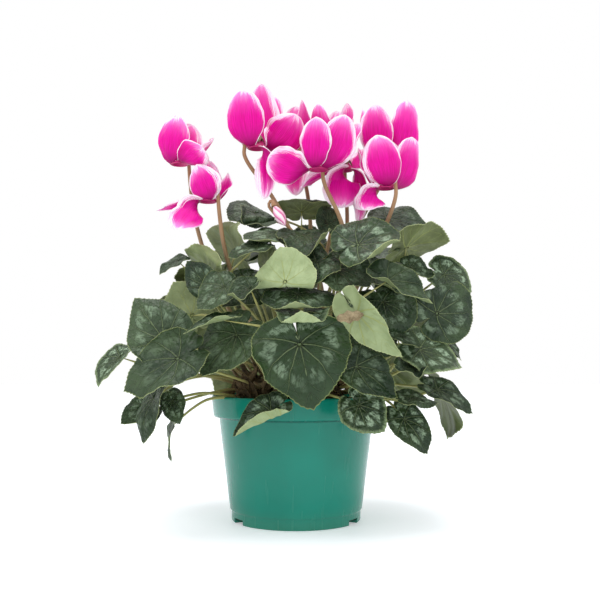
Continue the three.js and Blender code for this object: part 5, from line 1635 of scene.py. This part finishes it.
# Where the notches are, in degrees from the front, their width and height in metres, and how far along Y
# the box for the notch at the front would reach, from outside the foot to inside it
NOTCH_TURNS = [-60, 60, 180]
NOTCH_WIDTH = 0.016
NOTCH_HEIGHT = 0.0045
NOTCH_SPAN = (-0.0656, -0.0496)


def lathe(profile, sides):
    """A closed skin turned round the upright axis from a profile that starts and ends on it."""
    turns = circle_turns(sides)
    rings = [np.stack([r * np.cos(turns), r * np.sin(turns), np.full(sides, z)], 1)
             for r, z in profile[1:-1]]
    points = np.vstack([*rings, [(0, 0, profile[0][1]), (0, 0, profile[-1][1])]])
    last = (len(rings) - 1) * sides
    first_pole, last_pole = len(points) - 2, len(points) - 1
    faces = belts(len(rings), sides)
    faces += [(first_pole, (j + 1) % sides, j) for j in range(sides)]
    faces += [(last_pole, last + j, last + (j + 1) % sides) for j in range(sides)]
    return points, faces


def notch_cutter():
    """Three boxes where the notches are, as one object."""
    corners = [(x, y, z) for z in (-NOTCH_HEIGHT, NOTCH_HEIGHT) for y in NOTCH_SPAN
               for x in (-NOTCH_WIDTH / 2, NOTCH_WIDTH / 2)]
    sides = [(0, 2, 3, 1), (4, 5, 7, 6), (0, 1, 5, 4), (2, 6, 7, 3), (0, 4, 6, 2), (1, 3, 7, 5)]
    points, faces = [], []
    for turn in map(math.radians, NOTCH_TURNS):
        shift = len(points)
        cosine, sine = math.cos(turn), math.sin(turn)
        points += [(x * cosine - y * sine, x * sine + y * cosine, z) for x, y, z in corners]
        faces += [tuple(shift + k for k in side) for side in sides]
    mesh = bpy.data.meshes.new("notches")
    mesh.from_pydata(points, [], faces)
    return put("notches", mesh)


print("pot profile points:", len(POT_PROFILE))

# %% [markdown]
# Moulded plastic this old is half glossy, with a faint grain, faint upright streaks and a little dust near
# the foot. A thin dark line of painted shade lies under the rim band. Its colour is nearly even, so the
# grain is mostly in the bump.

# %% Green plastic
def pot_finish():
    finish = Finish("green_plastic")
    place = finish.place()
    height = finish.node("ShaderNodeSeparateXYZ", None, place, out=2)
    cloud = finish.noise(place, 14.0, 3.0)
    grain = finish.noise(place, 900.0, 2.0)
    stretched = finish.node("ShaderNodeMapping", None, Vector=place, Scale=(1.0, 1.0, 0.04)).socket
    scuffs = finish.noise(stretched, 190.0, 2.0).rise(0.5, 0.75)
    low = 1.0 - height.rise(0.0, 0.02)
    # A thin dark line of painted shade under the rim band's ledge
    painted_rim_shade = height.rise(0.0895, 0.0905) * (1.0 - height.rise(0.0915, 0.0925))
    green = finish.blend(cloud.rise(0.3, 0.7), colour(0, 114, 97), colour(0, 124, 106))
    green = finish.blend((low * 0.25 + scuffs * 0.05).held(), green, colour(78, 120, 98))
    green = finish.blend(painted_rim_shade * 0.6, green, colour(0, 62, 54))
    finish.principled(
        Base_Color=green, Roughness=(0.2 + cloud * 0.08 + scuffs * 0.06).held(), Specular_IOR_Level=0.32,
        Normal=finish.bump(grain + scuffs * 0.2, 0.12, 0.0002),
    )
    return finish.material


# Edges that bend more than this stay sharp
SHARP_ANGLE = math.radians(40)


def dress_pot():
    points, faces = lathe(POT_PROFILE, POT_AROUND)
    mesh = bpy.data.meshes.new("pot_fine")
    mesh.from_pydata((points / 1000).tolist(), [], faces)
    rough = put("pot_rough", mesh)
    cutter = notch_cutter()
    cut = rough.modifiers.new("notches", "BOOLEAN")
    cut.operation = "DIFFERENCE"
    cut.solver = "EXACT"
    cut.object = cutter
    pot = applied(rough)
    bpy.data.objects.remove(rough)
    bpy.data.objects.remove(cutter)
    pot.materials.clear()
    pot.materials.append(pot_finish())
    pot.polygons.foreach_set("material_index", [0] * len(pot.polygons))
    pot.polygons.foreach_set("use_smooth", [True] * len(pot.polygons))
    pot.set_sharp_from_angle(angle=SHARP_ANGLE)
    show(pot, "pot")
    return len(pot.polygons)


print("pot faces:", dress_pot())

# %% [markdown]
# ## Soil and tuber
# Little of the soil shows: a dark crumbly heap with the brown corky crown of the tuber in it, and dry scraps
# of old leaves among the stalks. Geometry Nodes scatter the crumbs over the heap, with a fixed seed.

# %% Lumpy surfaces
# Mathutils' fractal noise: how fast finer lumps grow weaker, how much finer each is, and how many there are
LUMP_FADE = 0.9
LUMP_STEP = 2.2
LUMP_LEVELS = 4


def lump(places, size, height, seed=0.0):
    """Soft noise at each place, between about minus height and height."""
    spots = [Vector(place) / size + Vector((seed, 0, 0)) for place in places]
    return np.array([noise.fractal(spot, LUMP_FADE, LUMP_STEP, LUMP_LEVELS) for spot in spots]) * height


soil_material = brown_finish("soil", (24, 17, 13), (60, 42, 32), 160.0, 0.95)
cork_material = brown_finish("tuber_cork", (48, 30, 23), (122, 86, 62), 110.0, 0.85)
print("browns:", soil_material.name, cork_material.name)

# %% A tree that scatters crumbs
CRUMB_TURN = (6.28, 6.28, 6.28)
CRUMB_LEAST = (0.4, 0.4, 0.3)
CRUMB_MOST = (1.5, 1.2, 0.9)


def crumb_tree():
    tree = Tree("soil_crumbs", Density="Float", Size="Float", Seed="Int", Finish="Material")
    start = tree.inputs
    spots = tree.add(
        "GeometryNodeDistributePointsOnFaces", Mesh=start["Geometry"], Density=start["Density"],
        Seed=start["Seed"],
    )
    crumb = tree.add("GeometryNodeMeshIcoSphere", Radius=1.0, Subdivisions=1)
    vector = {"data_type": "FLOAT_VECTOR"}
    spin = tree.add("FunctionNodeRandomValue", vector, Seed=start["Seed"], Max=CRUMB_TURN)
    stretch = tree.add(
        "FunctionNodeRandomValue", vector, Seed=start["Seed"], Min=CRUMB_LEAST, Max=CRUMB_MOST,
    )
    size = tree.add(
        "ShaderNodeVectorMath", {"operation": "SCALE"}, Vector=stretch.outputs[0], Scale=start["Size"],
    )
    placed = tree.add(
        "GeometryNodeInstanceOnPoints", Points=spots.outputs[0], Instance=crumb.outputs[0],
        Rotation=spin.outputs[0], Scale=size.outputs[0],
    )
    return tree.end(placed.outputs[0])


CRUMB_TREE = crumb_tree()
print("crumb tree:", len(CRUMB_TREE.nodes), "nodes")

# %% Dress the soil and the tuber
# Radius and height in millimetres, from the pot's floor up its wall, over the heap and round the tuber
SOIL_PROFILE = [
    (0.0, 2.4), (56.2, 3.4), (66.8, 90.0), (70.8, 94.0), (71.2, 98.6), (68.0, 99.3), (60.0, 100.2),
    (52.0, 101.0), (44.0, 101.6), (36.0, 102.1), (28.0, 102.4), (26.0, 102.4), (29.6, 96.2), (32.0, 84.0),
    (29.6, 71.8), (22.6, 61.4), (12.2, 54.4), (0.0, 52.0),
]
SOIL_AROUND = 96
SOIL_SEED = 11
# In millimetres: the heap lies above this height and outside this radius, and its lumps' size and height
HEAP_LEVEL = 98
HEAP_RADIUS = 25
HEAP_LUMPS = (9.0, 0.7)
# Crumbs to a square metre, their radius in metres and their seed
CRUMB_DENSITY = 120000.0
CRUMB_SIZE = 0.0015
CRUMB_SEED = 3
# The space that the scraps fill, among the stalks at the front of the crown, in millimetres
SCRAP_COUNT = 70
SCRAP_LOW = (-66, -58, 104)
SCRAP_HIGH = (38, -22, 132)
SCRAP_REACH = 60
SCRAP_LENGTHS = (14, 30)
SCRAP_WIDTHS = (3, 9)


def crumbs_on(points, faces):
    """The mesh of the crumbs that lie on some faces, whose points are in millimetres."""
    used = sorted({k for quad in faces for k in quad})
    number = {k: i for i, k in enumerate(used)}
    top = bpy.data.meshes.new("heap")
    top.from_pydata((points[used] / 1000).tolist(), [], [tuple(number[k] for k in quad) for quad in faces])
    return grow(put("heap", top), CRUMB_TREE, Density=CRUMB_DENSITY, Size=CRUMB_SIZE, Seed=CRUMB_SEED,
                Finish=soil_material)


def dress_soil():
    points, faces = lathe(SOIL_PROFILE, SOIL_AROUND)
    heap = (points[:, 2] > HEAP_LEVEL) & (np.hypot(points[:, 0], points[:, 1]) > HEAP_RADIUS)
    points[heap, 2] += lump(points[heap], *HEAP_LUMPS)
    sheet = Sheet()
    sheet.add(points / 1000, faces, 0)
    draw = np.random.default_rng(SOIL_SEED)
    for _ in range(SCRAP_COUNT):
        middle = draw.uniform(SCRAP_LOW, SCRAP_HIGH)
        middle[:2] *= min(1.0, SCRAP_REACH / np.hypot(*middle[:2]))
        heading = draw.uniform((-1, -0.5, -0.3), (1, 0.2, 0.8))
        length, width = draw.uniform(*SCRAP_LENGTHS), draw.uniform(*SCRAP_WIDTHS)
        dry_scrap(sheet, middle, heading, length, width, draw, 1)
    crumbs = crumbs_on(points, [face for face in faces if heap[list(face)].all()])
    sheet.add(places_of(crumbs), [tuple(face.vertices) for face in crumbs.polygons], 0)
    bpy.data.meshes.remove(crumbs)
    show(sheet.mesh("soil_fine", [soil_material, scrap_material]), "soil")
    return len(sheet.faces)


# The tuber's radius and its middle's height in millimetres, how many points it has up and round, and its
# lumps: their size and height in millimetres, their seed, and the most that they stand out
TUBER_RADIUS = 30.6
TUBER_HEIGHT = 84
TUBER_STEPS = 46
TUBER_AROUND = 90
TUBER_LUMPS = (6.0, 0.8, 4.0)
TUBER_LUMP_MOST = 0.35


def dress_tuber():
    turns = np.radians(np.linspace(-90, 90, TUBER_STEPS))
    profile = [(TUBER_RADIUS * math.cos(t), TUBER_HEIGHT + TUBER_RADIUS * math.sin(t)) for t in turns]
    profile[0], profile[-1] = (0.0, TUBER_HEIGHT - TUBER_RADIUS), (0.0, TUBER_HEIGHT + TUBER_RADIUS)
    points, faces = lathe(profile, TUBER_AROUND)
    outward = unit(points - TUBER_MIDDLE * 1000)
    points += outward * np.minimum(lump(points, *TUBER_LUMPS), TUBER_LUMP_MOST)[:, None]
    sheet = Sheet()
    sheet.add(points / 1000, faces, 0)
    show(sheet.mesh("tuber_fine", [cork_material]), "tuber")
    return len(faces)


print("soil faces:", dress_soil())
print("tuber faces:", dress_tuber())
